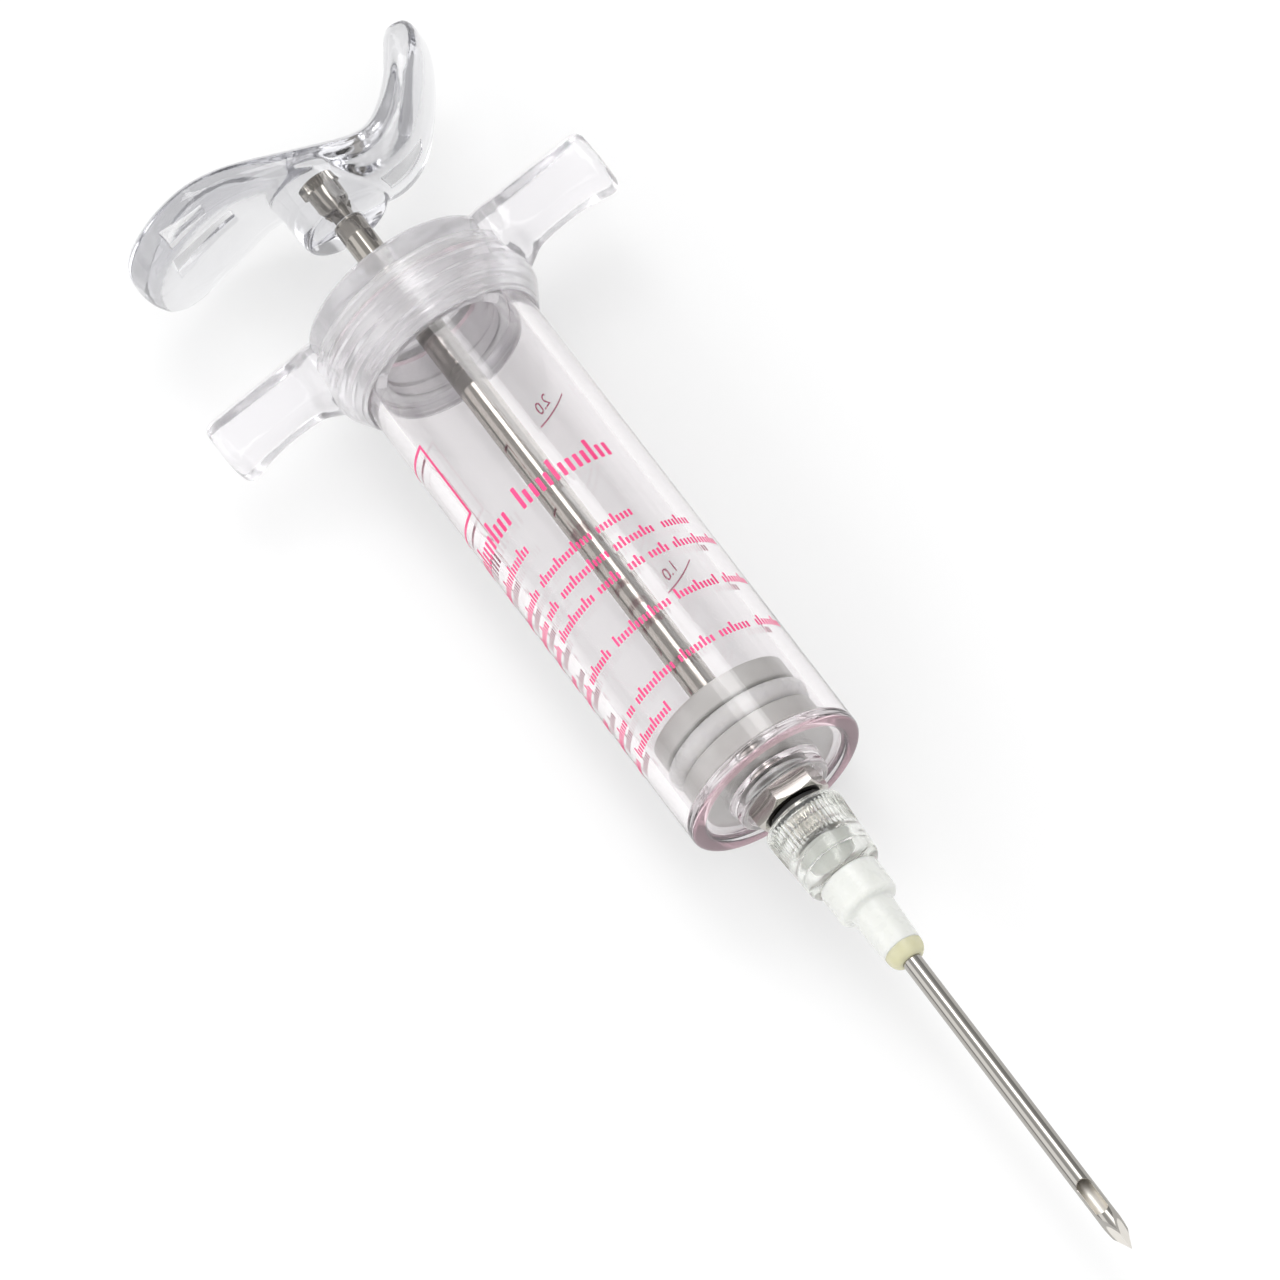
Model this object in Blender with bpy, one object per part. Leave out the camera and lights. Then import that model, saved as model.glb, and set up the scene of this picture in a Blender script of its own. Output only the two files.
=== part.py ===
"""Meat injector: a clear hand syringe with a screw-on finger-grip cap, a palm handle and a luer-lock needle.

The tool lies along X with its needle towards +X, its finger grips along Y and +Z up.
Stations are millimetres along the tool's axis, counted from the barrel's front rim: positive towards the
needle tip, negative towards the palm handle.  The empty "tool_axis" carries every piece, so each piece has
its origin on the axis that it slides along and turns about.
"""
import math

import bmesh
import bpy
from mathutils import Vector

MM = 0.001
GAP = 0.3                       # clearance between neighbouring pieces

# Driving dimensions, millimetres
BARREL_RADIUS = 18.0
BORE_RADIUS = 15.0
BARREL_REAR = -116.6
BARREL_RIM_ROUND = 0.9
END_WALL_INSIDE = -3.0
END_WALL_OUTSIDE = -0.8
BOSS_RADIUS = 9.3
BOSS_FRONT = 2.7
POCKET_CLEARANCE = 0.4          # round the corners of the fitting's hexagon
GASKET_ROOM = 1.2               # depth of the pocket behind the hexagon
GASKET_INNER_RADIUS = 3.5
GASKET_OUTER_RADIUS = 7.1

RING_RADIUS = 21.7              # widest part of the cap: the tool lies on it
CAP_REAR = -123.4
CAP_DISC_RADIUS = 20.0
CAP_STEP = -118.0
CAP_SKIRT_SHOULDER = -110.2
CAP_SKIRT_FRONT = -105.4
CAP_GROOVE_FLOOR = -118.5
PLUG_FRONT = -107.2
SKIRT_FRONT_RADIUS = 18.9
PLUG_WALL = 2.6
ROD_GUIDE_WALL = 2.2
ROD_GUIDE_LENGTH = 3.0
GRIP_SPAN = 43.7                # from the axis to the end of each finger grip
GRIP_REAR = -124.8
GRIP_HALF_DEPTH = 6.4
GRIP_ROLL = math.radians(3.0)     # the cap is screwed home with its +Y grip a little high

ROD_RADIUS = 3.0
ROD_SHOULDER_FRONT = -17.8
ROD_SHOULDER_REAR = -141.0
STUD_RADIUS = 1.9
NECK_RADIUS = 2.1
KNURL_RADIUS = 2.45
KNURL_FRONT = -147.8
ROD_REAR = -150.2

PISTON_RADIUS = 14.0
PISTON_FRONT = -3.6
PISTON_REAR = -17.5
PLATE_THICKNESS = 4.5
ORING_SECTION = 2.1
STUD_HOLE = STUD_RADIUS + GAP
NUT_FLATS = 7.0
NUT_POCKET_RADIUS = 4.5
NUT_POCKET_DEPTH = 3.0
NUT_THICKNESS = 2.4

HEX_FLATS = 13.0
HEX_REAR = 0.9
HEX_FRONT = 5.9
HEX_ROLL = math.radians(13.3)     # from +Z towards -Y, to the nearest corner
FITTING_STUD_RADIUS = 3.1
FITTING_CORE_RADIUS = 5.6         # the turned core that the hexagon is joined to
PASSAGE_RADIUS = 1.2
SEAL_RING_RADIUS = 5.65
NOSE_NECK_RADIUS = 4.6
NOSE_RADIUS = 5.2
NOSE_REAR = 7.9
NOSE_FRONT = 14.0
CONE_REAR_RADIUS = 2.15
CONE_FRONT_RADIUS = 1.95
CONE_FRONT = 20.8

COLLAR_REAR = 7.9
COLLAR_FRONT = 22.2
COLLAR_REAR_RADIUS = 7.9
COLLAR_FRONT_RADIUS = 7.2
COLLAR_LIP_REAR = 18.3
COLLAR_LIP_RADIUS = 4.6

HUB_REAR = 15.0
HUB_SOCKET_REAR_RADIUS = 2.5
HUB_SOCKET_FRONT_RADIUS = 2.3
HUB_FLANGE_RADIUS = 6.0
HUB_BODY_RADIUS = 5.9
HUB_STEP = 29.3
HUB_NOSE_REAR_RADIUS = 4.2
HUB_NOSE_FRONT_RADIUS = 3.8
HUB_FRONT = 39.6
BEAD_FRONT = 42.4
BEAD_RADIUS = 3.7
BEAD_STEPS = 5
NEEDLE_RADIUS = 1.85
NEEDLE_BORE = 1.35
NEEDLE_REAR = 22.5
NEEDLE_SHOULDER = 102.6
NEEDLE_TIP = 110.3
PORT_REAR = 94.8
PORT_FRONT = 102.4
PORT_WIDTH = 3.0
PORT_FLOOR = 0.35               # height of the port's edges above the needle's axis

HANDLE_REAR = -166.4            # the far wing's tip, the rearmost point of the tool
BOSS_END = -140.0
HANDLE_BOSS_RADIUS = 9.0
HANDLE_CORE_HALF = 0.9          # half the width of the narrow cores in the handle's front face
HANDLE_POCKET_HALF = 1.8        # and of the wide one
HANDLE_CORE_LENGTH = 9.0

ROUND_FINE = 40                 # sides of the large turned pieces
ROUND_SMALL = 24                # sides of the small turned pieces
WING_SIDES = 16                 # points round one section of the palm handle or a finger grip
WING_POWER = 3.2                # how square those sections are: 2 would be an ellipse

AXIS_HEIGHT = RING_RADIUS * MM
RIM_X = -(NEEDLE_TIP + HANDLE_REAR) / 2 * MM


def start_clean():
    for item in list(bpy.data.objects):
        bpy.data.objects.remove(item, do_unlink=True)


def make_axis():
    """An empty on the tool's axis, at the barrel's front rim."""
    axis = bpy.data.objects.new("tool_axis", None)
    axis.location = (RIM_X, 0.0, AXIS_HEIGHT)
    bpy.context.scene.collection.objects.link(axis)
    return axis


def material(name, colour, roughness, metallic=0.0, transmission=0.0):
    made = bpy.data.materials.new(name)
    made.use_nodes = True
    shader = made.node_tree.nodes["Principled BSDF"]
    shader.inputs["Base Color"].default_value = (*colour, 1.0)
    shader.inputs["Roughness"].default_value = roughness
    shader.inputs["Metallic"].default_value = metallic
    shader.inputs["Transmission Weight"].default_value = transmission
    made.diffuse_color = (*colour, 1.0)
    return made


def add_object(name, bm, axis, finish=None):
    """Turn a bmesh in station millimetres into a named object on the tool's axis."""
    bmesh.ops.scale(bm, verts=bm.verts, vec=(MM, MM, MM))
    mesh = bpy.data.meshes.new(name)
    bm.to_mesh(mesh)
    bm.free()
    mesh.shade_smooth()
    mesh.set_sharp_from_angle(angle=math.radians(35))
    made = bpy.data.objects.new(name, mesh)
    made.parent = axis
    bpy.context.scene.collection.objects.link(made)
    if finish is not None:
        mesh.materials.append(finish)
    return made


def rounded(corners, steps=2):
    """Outline points of (station, radius, fillet) corners, each fillet an arc tangent to both sides."""
    points = []
    count = len(corners)
    for index, (station, radius, fillet) in enumerate(corners):
        here = Vector((station, radius))
        if fillet == 0:
            points.append(here)
            continue
        back = (Vector(corners[index - 1][:2]) - here).normalized()
        ahead = (Vector(corners[(index + 1) % count][:2]) - here).normalized()
        half_angle = back.angle(ahead) / 2
        centre = here + (back + ahead).normalized() * fillet / math.sin(half_angle)
        start = here + back * fillet / math.tan(half_angle) - centre
        end = here + ahead * fillet / math.tan(half_angle) - centre
        sweep = math.copysign(math.pi - 2 * half_angle, start.cross(end))
        for step in range(steps + 1):
            turn = sweep * step / steps
            points.append(centre + Vector((start.x * math.cos(turn) - start.y * math.sin(turn),
                                           start.x * math.sin(turn) + start.y * math.cos(turn))))
    return [(point.x, point.y) for point in points]


def turned_mesh(outline, sides, closed=True):
    """Spin an outline of (station, radius) points about the tool's axis."""
    bm = bmesh.new()
    verts = [bm.verts.new((station, 0.0, radius)) for station, radius in outline]
    edges = [bm.edges.new(pair) for pair in zip(verts, verts[1:])]
    if closed:
        edges.append(bm.edges.new((verts[-1], verts[0])))
    bmesh.ops.spin(bm, geom=verts + edges, cent=(0, 0, 0), axis=(1, 0, 0),
                   angle=2 * math.pi, steps=sides, use_merge=True)
    bmesh.ops.remove_doubles(bm, verts=bm.verts, dist=0.0001)
    bmesh.ops.dissolve_degenerate(bm, edges=bm.edges, dist=0.0001)
    bmesh.ops.recalc_face_normals(bm, faces=bm.faces)
    return bm


def turned(name, outline, sides, axis, finish=None, closed=True):
    return add_object(name, turned_mesh(outline, sides, closed), axis, finish)


def prism(name, sides, flats, start, end, roll, axis, finish=None):
    """A regular prism along the tool's axis, sized over its flats; a corner is rolled from +Z to -Y."""
    bm = bmesh.new()
    corner = flats / 2 / math.cos(math.pi / sides)
    bmesh.ops.create_cone(bm, cap_ends=True, segments=sides, radius1=corner, radius2=corner, depth=end - start)
    for index, vert in enumerate(bm.verts):
        turn = roll + 2 * math.pi * (index // 2) / sides
        station = start if index % 2 == 0 else end
        vert.co = Vector((station, -corner * math.sin(turn), corner * math.cos(turn)))
    bmesh.ops.recalc_face_normals(bm, faces=bm.faces)
    return add_object(name, bm, axis, finish)


def box(name, low, high, axis):
    bm = bmesh.new()
    bmesh.ops.create_cube(bm, size=1.0)
    for vert in bm.verts:
        vert.co = Vector([a + (b - a) * (part + 0.5) for a, b, part in zip(low, high, vert.co)])
    return add_object(name, bm, axis)


def combine(target, tool, operation):
    """A Boolean with a hidden tool object."""
    tool.hide_render = True
    tool.display_type = "WIRE"
    step = target.modifiers.new(f"{operation.lower()}_{tool.name}", "BOOLEAN")
    step.operation = operation
    step.solver = "EXACT"
    step.object = tool


def loft(sections):
    """A closed skin through rings of equal length; a one-point ring closes an end."""
    bm = bmesh.new()
    rings = [[bm.verts.new(point) for point in section] for section in sections]
    for ring, following in zip(rings, rings[1:]):
        if len(ring) == 1 or len(following) == 1:
            tip, loop = (ring[0], following) if len(ring) == 1 else (following[0], ring)
            for one, other in zip(loop, loop[1:] + loop[:1]):
                bm.faces.new((tip, one, other))
            continue
        for index in range(len(ring)):
            after = (index + 1) % len(ring)
            bm.faces.new((ring[index], ring[after], following[after], following[index]))
    bmesh.ops.recalc_face_normals(bm, faces=bm.faces)
    return bm


def superellipse(half_a, half_b, power, sides):
    """Points of a rounded rectangle |a|^p + |b|^p = 1."""
    points = []
    for index in range(sides):
        turn = 2 * math.pi * (index + 0.5) / sides
        cosine = math.cos(turn)
        sine = math.sin(turn)
        points.append((math.copysign(abs(cosine) ** (2 / power), cosine) * half_a,
                       math.copysign(abs(sine) ** (2 / power), sine) * half_b))
    return points


def catmull_rom(rows, steps):
    """Rows of numbers smoothly interpolated, with a number of steps between each pair."""
    padded = [rows[0]] + rows + [rows[-1]]
    smooth = []
    for first, start, end, last in zip(padded, padded[1:], padded[2:], padded[3:]):
        for step in range(steps):
            t = step / steps
            smooth.append([0.5 * (2 * b + (c - a) * t + (2 * a - 5 * b + 4 * c - d) * t ** 2
                                  + (3 * b - a - 3 * c + d) * t ** 3)
                           for a, b, c, d in zip(first, start, end, last)])
    smooth.append(list(rows[-1]))
    return smooth


# ---- the barrel and what is fixed in its front end ----

def make_barrel(axis, finish):
    """Open tube with an end wall, a raised rim and a round boss, pocketed for the fitting's hexagon."""
    pocket_radius = HEX_FLATS / 2 / math.cos(math.pi / 6) + POCKET_CLEARANCE
    pocket_floor = HEX_REAR - GASKET_ROOM
    stud_hole = FITTING_STUD_RADIUS + GAP
    outline = rounded([
        (BARREL_REAR, BORE_RADIUS, 0.4), (END_WALL_INSIDE, BORE_RADIUS, 0),
        (END_WALL_INSIDE, stud_hole, 0), (pocket_floor, stud_hole, 0), (pocket_floor, pocket_radius, 0),
        (BOSS_FRONT, pocket_radius, 0), (BOSS_FRONT, BOSS_RADIUS, 0.6), (END_WALL_OUTSIDE, BOSS_RADIUS, 0.6),
        (END_WALL_OUTSIDE, BORE_RADIUS, 0.5), (0.0, BORE_RADIUS, 0.4),
        (0.0, BARREL_RADIUS, BARREL_RIM_ROUND), (BARREL_REAR, BARREL_RADIUS, 0.5)])
    turned("barrel", outline, ROUND_FINE, axis, finish)


def make_fitting_gasket(axis, finish):
    rear = HEX_REAR - GASKET_ROOM + GAP
    front = HEX_REAR - GAP
    outline = [(rear, GASKET_INNER_RADIUS), (rear, GASKET_OUTER_RADIUS),
               (front, GASKET_OUTER_RADIUS), (front, GASKET_INNER_RADIUS)]
    turned("fitting_gasket", outline, ROUND_SMALL, axis, finish)


def make_luer_fitting(axis, finish):
    """Metal fitting, bored through: stud in the end wall, hexagon, threaded nose and tapered male tip."""
    rear = END_WALL_INSIDE + GAP
    core_rear = HEX_REAR + 1.0
    core_front = HEX_FRONT - 0.5
    nose_rear = NOSE_REAR + GAP
    outline = rounded([
        (rear, PASSAGE_RADIUS, 0), (rear, FITTING_STUD_RADIUS, 0), (core_rear, FITTING_STUD_RADIUS, 0),
        (core_rear, FITTING_CORE_RADIUS, 0), (core_front, FITTING_CORE_RADIUS, 0),
        (core_front, NOSE_NECK_RADIUS, 0), (nose_rear, NOSE_NECK_RADIUS, 0), (nose_rear, NOSE_RADIUS, 0.3),
        (NOSE_FRONT, NOSE_RADIUS, 0.5), (NOSE_FRONT, CONE_REAR_RADIUS, 0), (CONE_FRONT, CONE_FRONT_RADIUS, 0),
        (CONE_FRONT, PASSAGE_RADIUS, 0)])
    fitting = turned("luer_fitting", outline, ROUND_SMALL, axis, finish)
    hexagon = prism("fitting_hexagon", 6, HEX_FLATS, HEX_REAR, HEX_FRONT, HEX_ROLL, axis)
    combine(fitting, hexagon, "UNION")
    passage_rear = END_WALL_INSIDE - 2
    passage_front = CONE_FRONT + 2
    passage = turned("fitting_passage", [(passage_rear, 0), (passage_rear, PASSAGE_RADIUS),
                                         (passage_front, PASSAGE_RADIUS), (passage_front, 0)],
                     ROUND_SMALL, axis, closed=False)
    combine(fitting, passage, "DIFFERENCE")


def make_tip_seal(axis, finish):
    inner = NOSE_NECK_RADIUS + GAP
    outline = rounded([(HEX_FRONT + GAP, inner, 0), (HEX_FRONT + GAP, SEAL_RING_RADIUS, 0.4),
                       (COLLAR_REAR - GAP, SEAL_RING_RADIUS, 0.4), (COLLAR_REAR - GAP, inner, 0)], steps=1)
    turned("tip_seal_ring", outline, ROUND_SMALL, axis, finish)


# ---- the screw cap ----

def grip_sections(side):
    """Rings across one finger grip: from inside the cap's ring out to its rounded end."""
    stations = [                       # distance from the axis, front station, share of the full section
        (15.0, -110.8, 1.0), (19.5, -111.0, 1.0), (22.5, -112.3, 1.0), (25.5, -113.8, 1.0),
        (30.0, -114.3, 1.0), (35.0, -114.2, 1.0), (39.0, -113.5, 1.0), (41.6, -112.9, 1.0),
        (43.0, -112.9, 0.93), (GRIP_SPAN, -113.2, 0.76)]
    sections = []
    out = Vector((0.0, side * math.cos(GRIP_ROLL), side * math.sin(GRIP_ROLL)))
    up = Vector((0.0, -math.sin(GRIP_ROLL), math.cos(GRIP_ROLL)))
    for distance, front, share in catmull_rom(stations, 2):
        middle = Vector(((front + GRIP_REAR) / 2, 0.0, 0.0)) + out * distance
        half = (front - GRIP_REAR) / 2 * share
        sections.append([middle + Vector((a, 0.0, 0.0)) + up * b
                         for a, b in superellipse(half, GRIP_HALF_DEPTH * share, WING_POWER, WING_SIDES)])
    inner = Vector((CAP_GROOVE_FLOOR, 0.0, 0.0)) + out * stations[0][0]
    outer = Vector(((stations[-1][1] + GRIP_REAR) / 2, 0.0, 0.0)) + out * GRIP_SPAN
    return [[inner]] + sections + [[outer]]


def make_cap(axis, finish):
    """One moulding: disc, skirt outside the barrel, hollow threaded plug inside it and two finger grips."""
    skirt_inside = BARREL_RADIUS + GAP + 0.05
    plug_radius = BORE_RADIUS - GAP - 0.05
    plug_inside = plug_radius - PLUG_WALL
    rod_hole = ROD_RADIUS + GAP
    guide_radius = rod_hole + ROD_GUIDE_WALL
    guide_front = CAP_GROOVE_FLOOR + ROD_GUIDE_LENGTH
    outline = rounded([
        (CAP_REAR, rod_hole, 0), (CAP_REAR, CAP_DISC_RADIUS, 1.2), (CAP_STEP, CAP_DISC_RADIUS, 0.4),
        (CAP_STEP, RING_RADIUS, 0.8), (CAP_SKIRT_SHOULDER, RING_RADIUS, 4.0),
        (CAP_SKIRT_FRONT, SKIRT_FRONT_RADIUS, 0), (CAP_SKIRT_FRONT, skirt_inside, 0),
        (CAP_GROOVE_FLOOR, skirt_inside, 0), (CAP_GROOVE_FLOOR, plug_radius, 0),
        (PLUG_FRONT, plug_radius, 0.5), (PLUG_FRONT, plug_inside, 0.5),
        (CAP_GROOVE_FLOOR, plug_inside, 1.0), (CAP_GROOVE_FLOOR, guide_radius, 0.6),
        (guide_front, guide_radius, 0.5), (guide_front, rod_hole, 0)])
    cap = turned("grip_cap", outline, ROUND_FINE, axis, finish)
    room = turned("cap_clearance", [
        (CAP_GROOVE_FLOOR, 0), (CAP_GROOVE_FLOOR, skirt_inside), (CAP_SKIRT_FRONT + 1, skirt_inside),
        (CAP_SKIRT_FRONT + 1, 0)], ROUND_FINE, axis, closed=False)
    for name, side in (("left", 1), ("right", -1)):
        grip = add_object(f"grip_{name}", loft(grip_sections(side)), axis)
        combine(grip, room, "DIFFERENCE")
        combine(cap, grip, "UNION")


def make_cap_gasket(axis, finish):
    turned("cap_gasket", [(CAP_GROOVE_FLOOR + GAP, BORE_RADIUS), (CAP_GROOVE_FLOOR + GAP, BARREL_RADIUS),
                          (BARREL_REAR - GAP, BARREL_RADIUS), (BARREL_REAR - GAP, BORE_RADIUS)],
           ROUND_FINE, axis, finish)


# ---- the piston and the plunger ----

def make_piston(plate_finish, ring_finish, axis):
    rear_plate_front = PISTON_REAR + PLATE_THICKNESS
    front_plate_rear = PISTON_FRONT - PLATE_THICKNESS
    turned("piston_rear_plate", rounded([
        (PISTON_REAR, STUD_HOLE, 0), (PISTON_REAR, PISTON_RADIUS, 0.5),
        (rear_plate_front, PISTON_RADIUS, 0.5), (rear_plate_front, STUD_HOLE, 0)], steps=1),
        ROUND_FINE, axis, plate_finish)
    pocket_floor = PISTON_FRONT - NUT_POCKET_DEPTH
    turned("piston_front_plate", rounded([
        (front_plate_rear, STUD_HOLE, 0), (front_plate_rear, PISTON_RADIUS, 0.5),
        (PISTON_FRONT, PISTON_RADIUS, 0.5), (PISTON_FRONT, NUT_POCKET_RADIUS, 0),
        (pocket_floor, NUT_POCKET_RADIUS, 0), (pocket_floor, STUD_HOLE, 0)], steps=1),
        ROUND_FINE, axis, plate_finish)
    ring_radius = BORE_RADIUS - GAP - 0.05 - ORING_SECTION
    ring_station = (rear_plate_front + front_plate_rear) / 2
    spool_radius = ring_radius - ORING_SECTION - GAP
    turned("piston_spool", [(rear_plate_front + GAP, STUD_HOLE), (rear_plate_front + GAP, spool_radius),
                            (front_plate_rear - GAP, spool_radius), (front_plate_rear - GAP, STUD_HOLE)],
           ROUND_SMALL, axis, plate_finish)
    sides = 12
    circle = [(ring_station + ORING_SECTION * math.cos(2 * math.pi * index / sides),
               ring_radius + ORING_SECTION * math.sin(2 * math.pi * index / sides)) for index in range(sides)]
    turned("piston_oring", circle, ROUND_FINE, axis, ring_finish)


def make_piston_nut(axis, finish):
    rear = PISTON_FRONT - NUT_POCKET_DEPTH + GAP
    front = rear + NUT_THICKNESS
    nut = prism("piston_nut", 6, NUT_FLATS, rear, front, 0.0, axis, finish)
    hole = turned("nut_hole", [(rear - 1, 0), (rear - 1, STUD_HOLE), (front + 1, STUD_HOLE), (front + 1, 0)],
                  ROUND_SMALL, axis, closed=False)
    combine(nut, hole, "DIFFERENCE")


def make_plunger_rod(axis, finish):
    """Polished rod: threaded stud for the piston in front, turned neck and knurl in the handle behind."""
    outline = rounded([
        (PISTON_FRONT - GAP, 0, 0), (PISTON_FRONT - GAP, STUD_RADIUS, 0.3),
        (ROD_SHOULDER_FRONT, STUD_RADIUS, 0), (ROD_SHOULDER_FRONT, ROD_RADIUS, 0.3),
        (ROD_SHOULDER_REAR, ROD_RADIUS, 0.3),
        (ROD_SHOULDER_REAR, NECK_RADIUS, 0), (KNURL_FRONT, NECK_RADIUS, 0), (KNURL_FRONT, KNURL_RADIUS, 0.2),
        (ROD_REAR, KNURL_RADIUS, 0.2), (ROD_REAR, 0, 0)], steps=1)
    turned("plunger_rod", outline, ROUND_SMALL, axis, finish, closed=False)


def handle_sections():
    """Rings along the palm strip: a broad paddle on the -Y side, waving over into a hook on the +Y side."""
    rows = [                           # y, station, half thickness and half width of the strip's middle line
        (-37.7, -153.9, 1.9, 4.4), (-36.5, -154.2, 3.5, 8.2), (-34.0, -154.7, 4.3, 11.6),
        (-30.0, -155.5, 4.4, 14.2), (-25.0, -156.6, 4.3, 15.2), (-19.5, -157.2, 4.0, 15.2),
        (-14.0, -157.1, 3.7, 13.4), (-9.0, -156.0, 3.6, 11.4), (-4.0, -154.1, 3.7, 9.8),
        (1.0, -151.6, 4.1, 9.0), (5.0, -149.0, 4.8, 9.0), (9.0, -146.8, 5.4, 9.0),
        (12.8, -146.3, 5.4, 8.8), (16.5, -147.7, 5.0, 8.6), (20.6, -151.0, 4.3, 8.5),
        (24.3, -155.3, 3.9, 8.4), (27.0, -159.5, 3.7, 7.9), (28.4, -162.6, 3.4, 6.8),
        (29.0, -165.0, 2.4, 4.9)]
    line = catmull_rom(rows, 2)
    sections = []
    for index, (y, station, thick, wide) in enumerate(line):
        before = line[max(index - 1, 0)]
        after = line[min(index + 1, len(line) - 1)]
        along = Vector((after[1] - before[1], after[0] - before[0], 0.0)).normalized()
        across = Vector((along.y, -along.x, 0.0))
        middle = Vector((station, y, 0.0))
        sections.append([middle + across * a + Vector((0.0, 0.0, b))
                         for a, b in superellipse(thick, wide, WING_POWER, WING_SIDES)])
    first = Vector((rows[0][1], rows[0][0] - 0.4, 0.0))
    last = Vector((HANDLE_REAR, rows[-1][0] + 0.1, 0.0))
    return [[first]] + sections + [[last]]


def handle_boss():
    """Boss round the rod, its rear end slanted to lie inside the palm strip."""
    slope = 0.48
    strip_station = -150.6
    rings = []
    for station, slant, radius in ((BOSS_END, 0.0, HANDLE_BOSS_RADIUS - 0.6),
                                   (BOSS_END - 0.6, 0.0, HANDLE_BOSS_RADIUS),
                                   (strip_station, slope, HANDLE_BOSS_RADIUS + 0.8)):
        ring = []
        for index in range(ROUND_SMALL):
            turn = 2 * math.pi * (index + 0.5) / ROUND_SMALL
            y = radius * math.cos(turn)
            ring.append((station + slant * y, y, radius * math.sin(turn)))
        rings.append(ring)
    return loft([[(BOSS_END, 0.0, 0.0)]] + rings + [[(strip_station, 0.0, 0.0)]])


def make_handle(axis, finish):
    """Clear palm handle, moulded round the rod's knurled end, with cores in its front face."""
    handle = add_object("palm_handle", loft(handle_sections()), axis, finish)
    combine(handle, add_object("handle_boss", handle_boss(), axis), "UNION")
    socket = turned("handle_socket", [
        (BOSS_END + 2, 0), (BOSS_END + 2, ROD_RADIUS + GAP), (ROD_SHOULDER_REAR - GAP, ROD_RADIUS + GAP),
        (ROD_SHOULDER_REAR - GAP, NECK_RADIUS + GAP), (KNURL_FRONT + GAP, NECK_RADIUS + GAP),
        (KNURL_FRONT + GAP, KNURL_RADIUS + GAP), (ROD_REAR - GAP, KNURL_RADIUS + GAP), (ROD_REAR - GAP, 0)],
        ROUND_SMALL, axis, closed=False)
    combine(handle, socket, "DIFFERENCE")
    cores = (                          # middle z, half width, low y, high y, floor station
        (12.1, HANDLE_CORE_HALF, -28.5, -19.4, -155.8), (3.6, HANDLE_POCKET_HALF, -30.3, -15.6, -156.0),
        (0.0, HANDLE_CORE_HALF, 10.2, 19.0, -146.2))
    for index, (z, half, start, end, floor) in enumerate(cores):
        low = (floor, start, z - half)
        high = (floor + HANDLE_CORE_LENGTH, end, z + half)
        combine(handle, box(f"handle_core_{index}", low, high, axis), "DIFFERENCE")


# ---- the needle and its locking collar ----

def make_luer_collar(axis, finish):
    """Clear collar: a thread over the fitting's nose, and a lip that draws the hub on to the tip."""
    outline = rounded([
        (COLLAR_REAR, NOSE_RADIUS + GAP, 0), (COLLAR_REAR, COLLAR_REAR_RADIUS, 0.6),
        (COLLAR_FRONT, COLLAR_FRONT_RADIUS, 1.4), (COLLAR_FRONT, COLLAR_LIP_RADIUS, 0),
        (COLLAR_LIP_REAR, COLLAR_LIP_RADIUS, 0), (COLLAR_LIP_REAR, NOSE_RADIUS + GAP, 0)])
    turned("luer_collar", outline, ROUND_SMALL + 8, axis, finish)


def make_needle_hub(axis, finish):
    neck = COLLAR_LIP_RADIUS - GAP
    neck_rear = COLLAR_LIP_REAR - GAP
    neck_front = COLLAR_FRONT + GAP
    bore = NEEDLE_RADIUS + GAP
    bore_rear = NEEDLE_REAR - 2 * GAP
    outline = rounded([
        (HUB_REAR, HUB_SOCKET_REAR_RADIUS, 0), (HUB_REAR, NOSE_RADIUS, 0), (neck_rear, NOSE_RADIUS, 0),
        (neck_rear, neck, 0), (neck_front, neck, 0), (neck_front, HUB_FLANGE_RADIUS, 0.4),
        (HUB_STEP, HUB_BODY_RADIUS, 0.8), (HUB_STEP, HUB_NOSE_REAR_RADIUS, 0.5),
        (HUB_FRONT, HUB_NOSE_FRONT_RADIUS, 0.3), (HUB_FRONT, bore, 0),
        (bore_rear, bore, 0), (bore_rear - 2 * GAP, HUB_SOCKET_FRONT_RADIUS, 0)])
    turned("needle_hub", outline, ROUND_SMALL, axis, finish)


def make_epoxy_bead(axis, finish):
    """A dome of adhesive round the needle, its rim a little narrower than the hub's nose."""
    bore = NEEDLE_RADIUS + GAP
    rear = HUB_FRONT + GAP
    flat = 0.1
    outline = [(rear, bore), (rear, BEAD_RADIUS)]
    for step in range(1, BEAD_STEPS + 1):
        turn = math.pi / 2 * step / BEAD_STEPS
        outline.append((rear + (BEAD_FRONT - rear) * math.sin(turn),
                        bore + flat + (BEAD_RADIUS - flat - bore) * math.cos(turn)))
    turned("epoxy_bead", outline + [(BEAD_FRONT, bore)], ROUND_SMALL, axis, finish)


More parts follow.
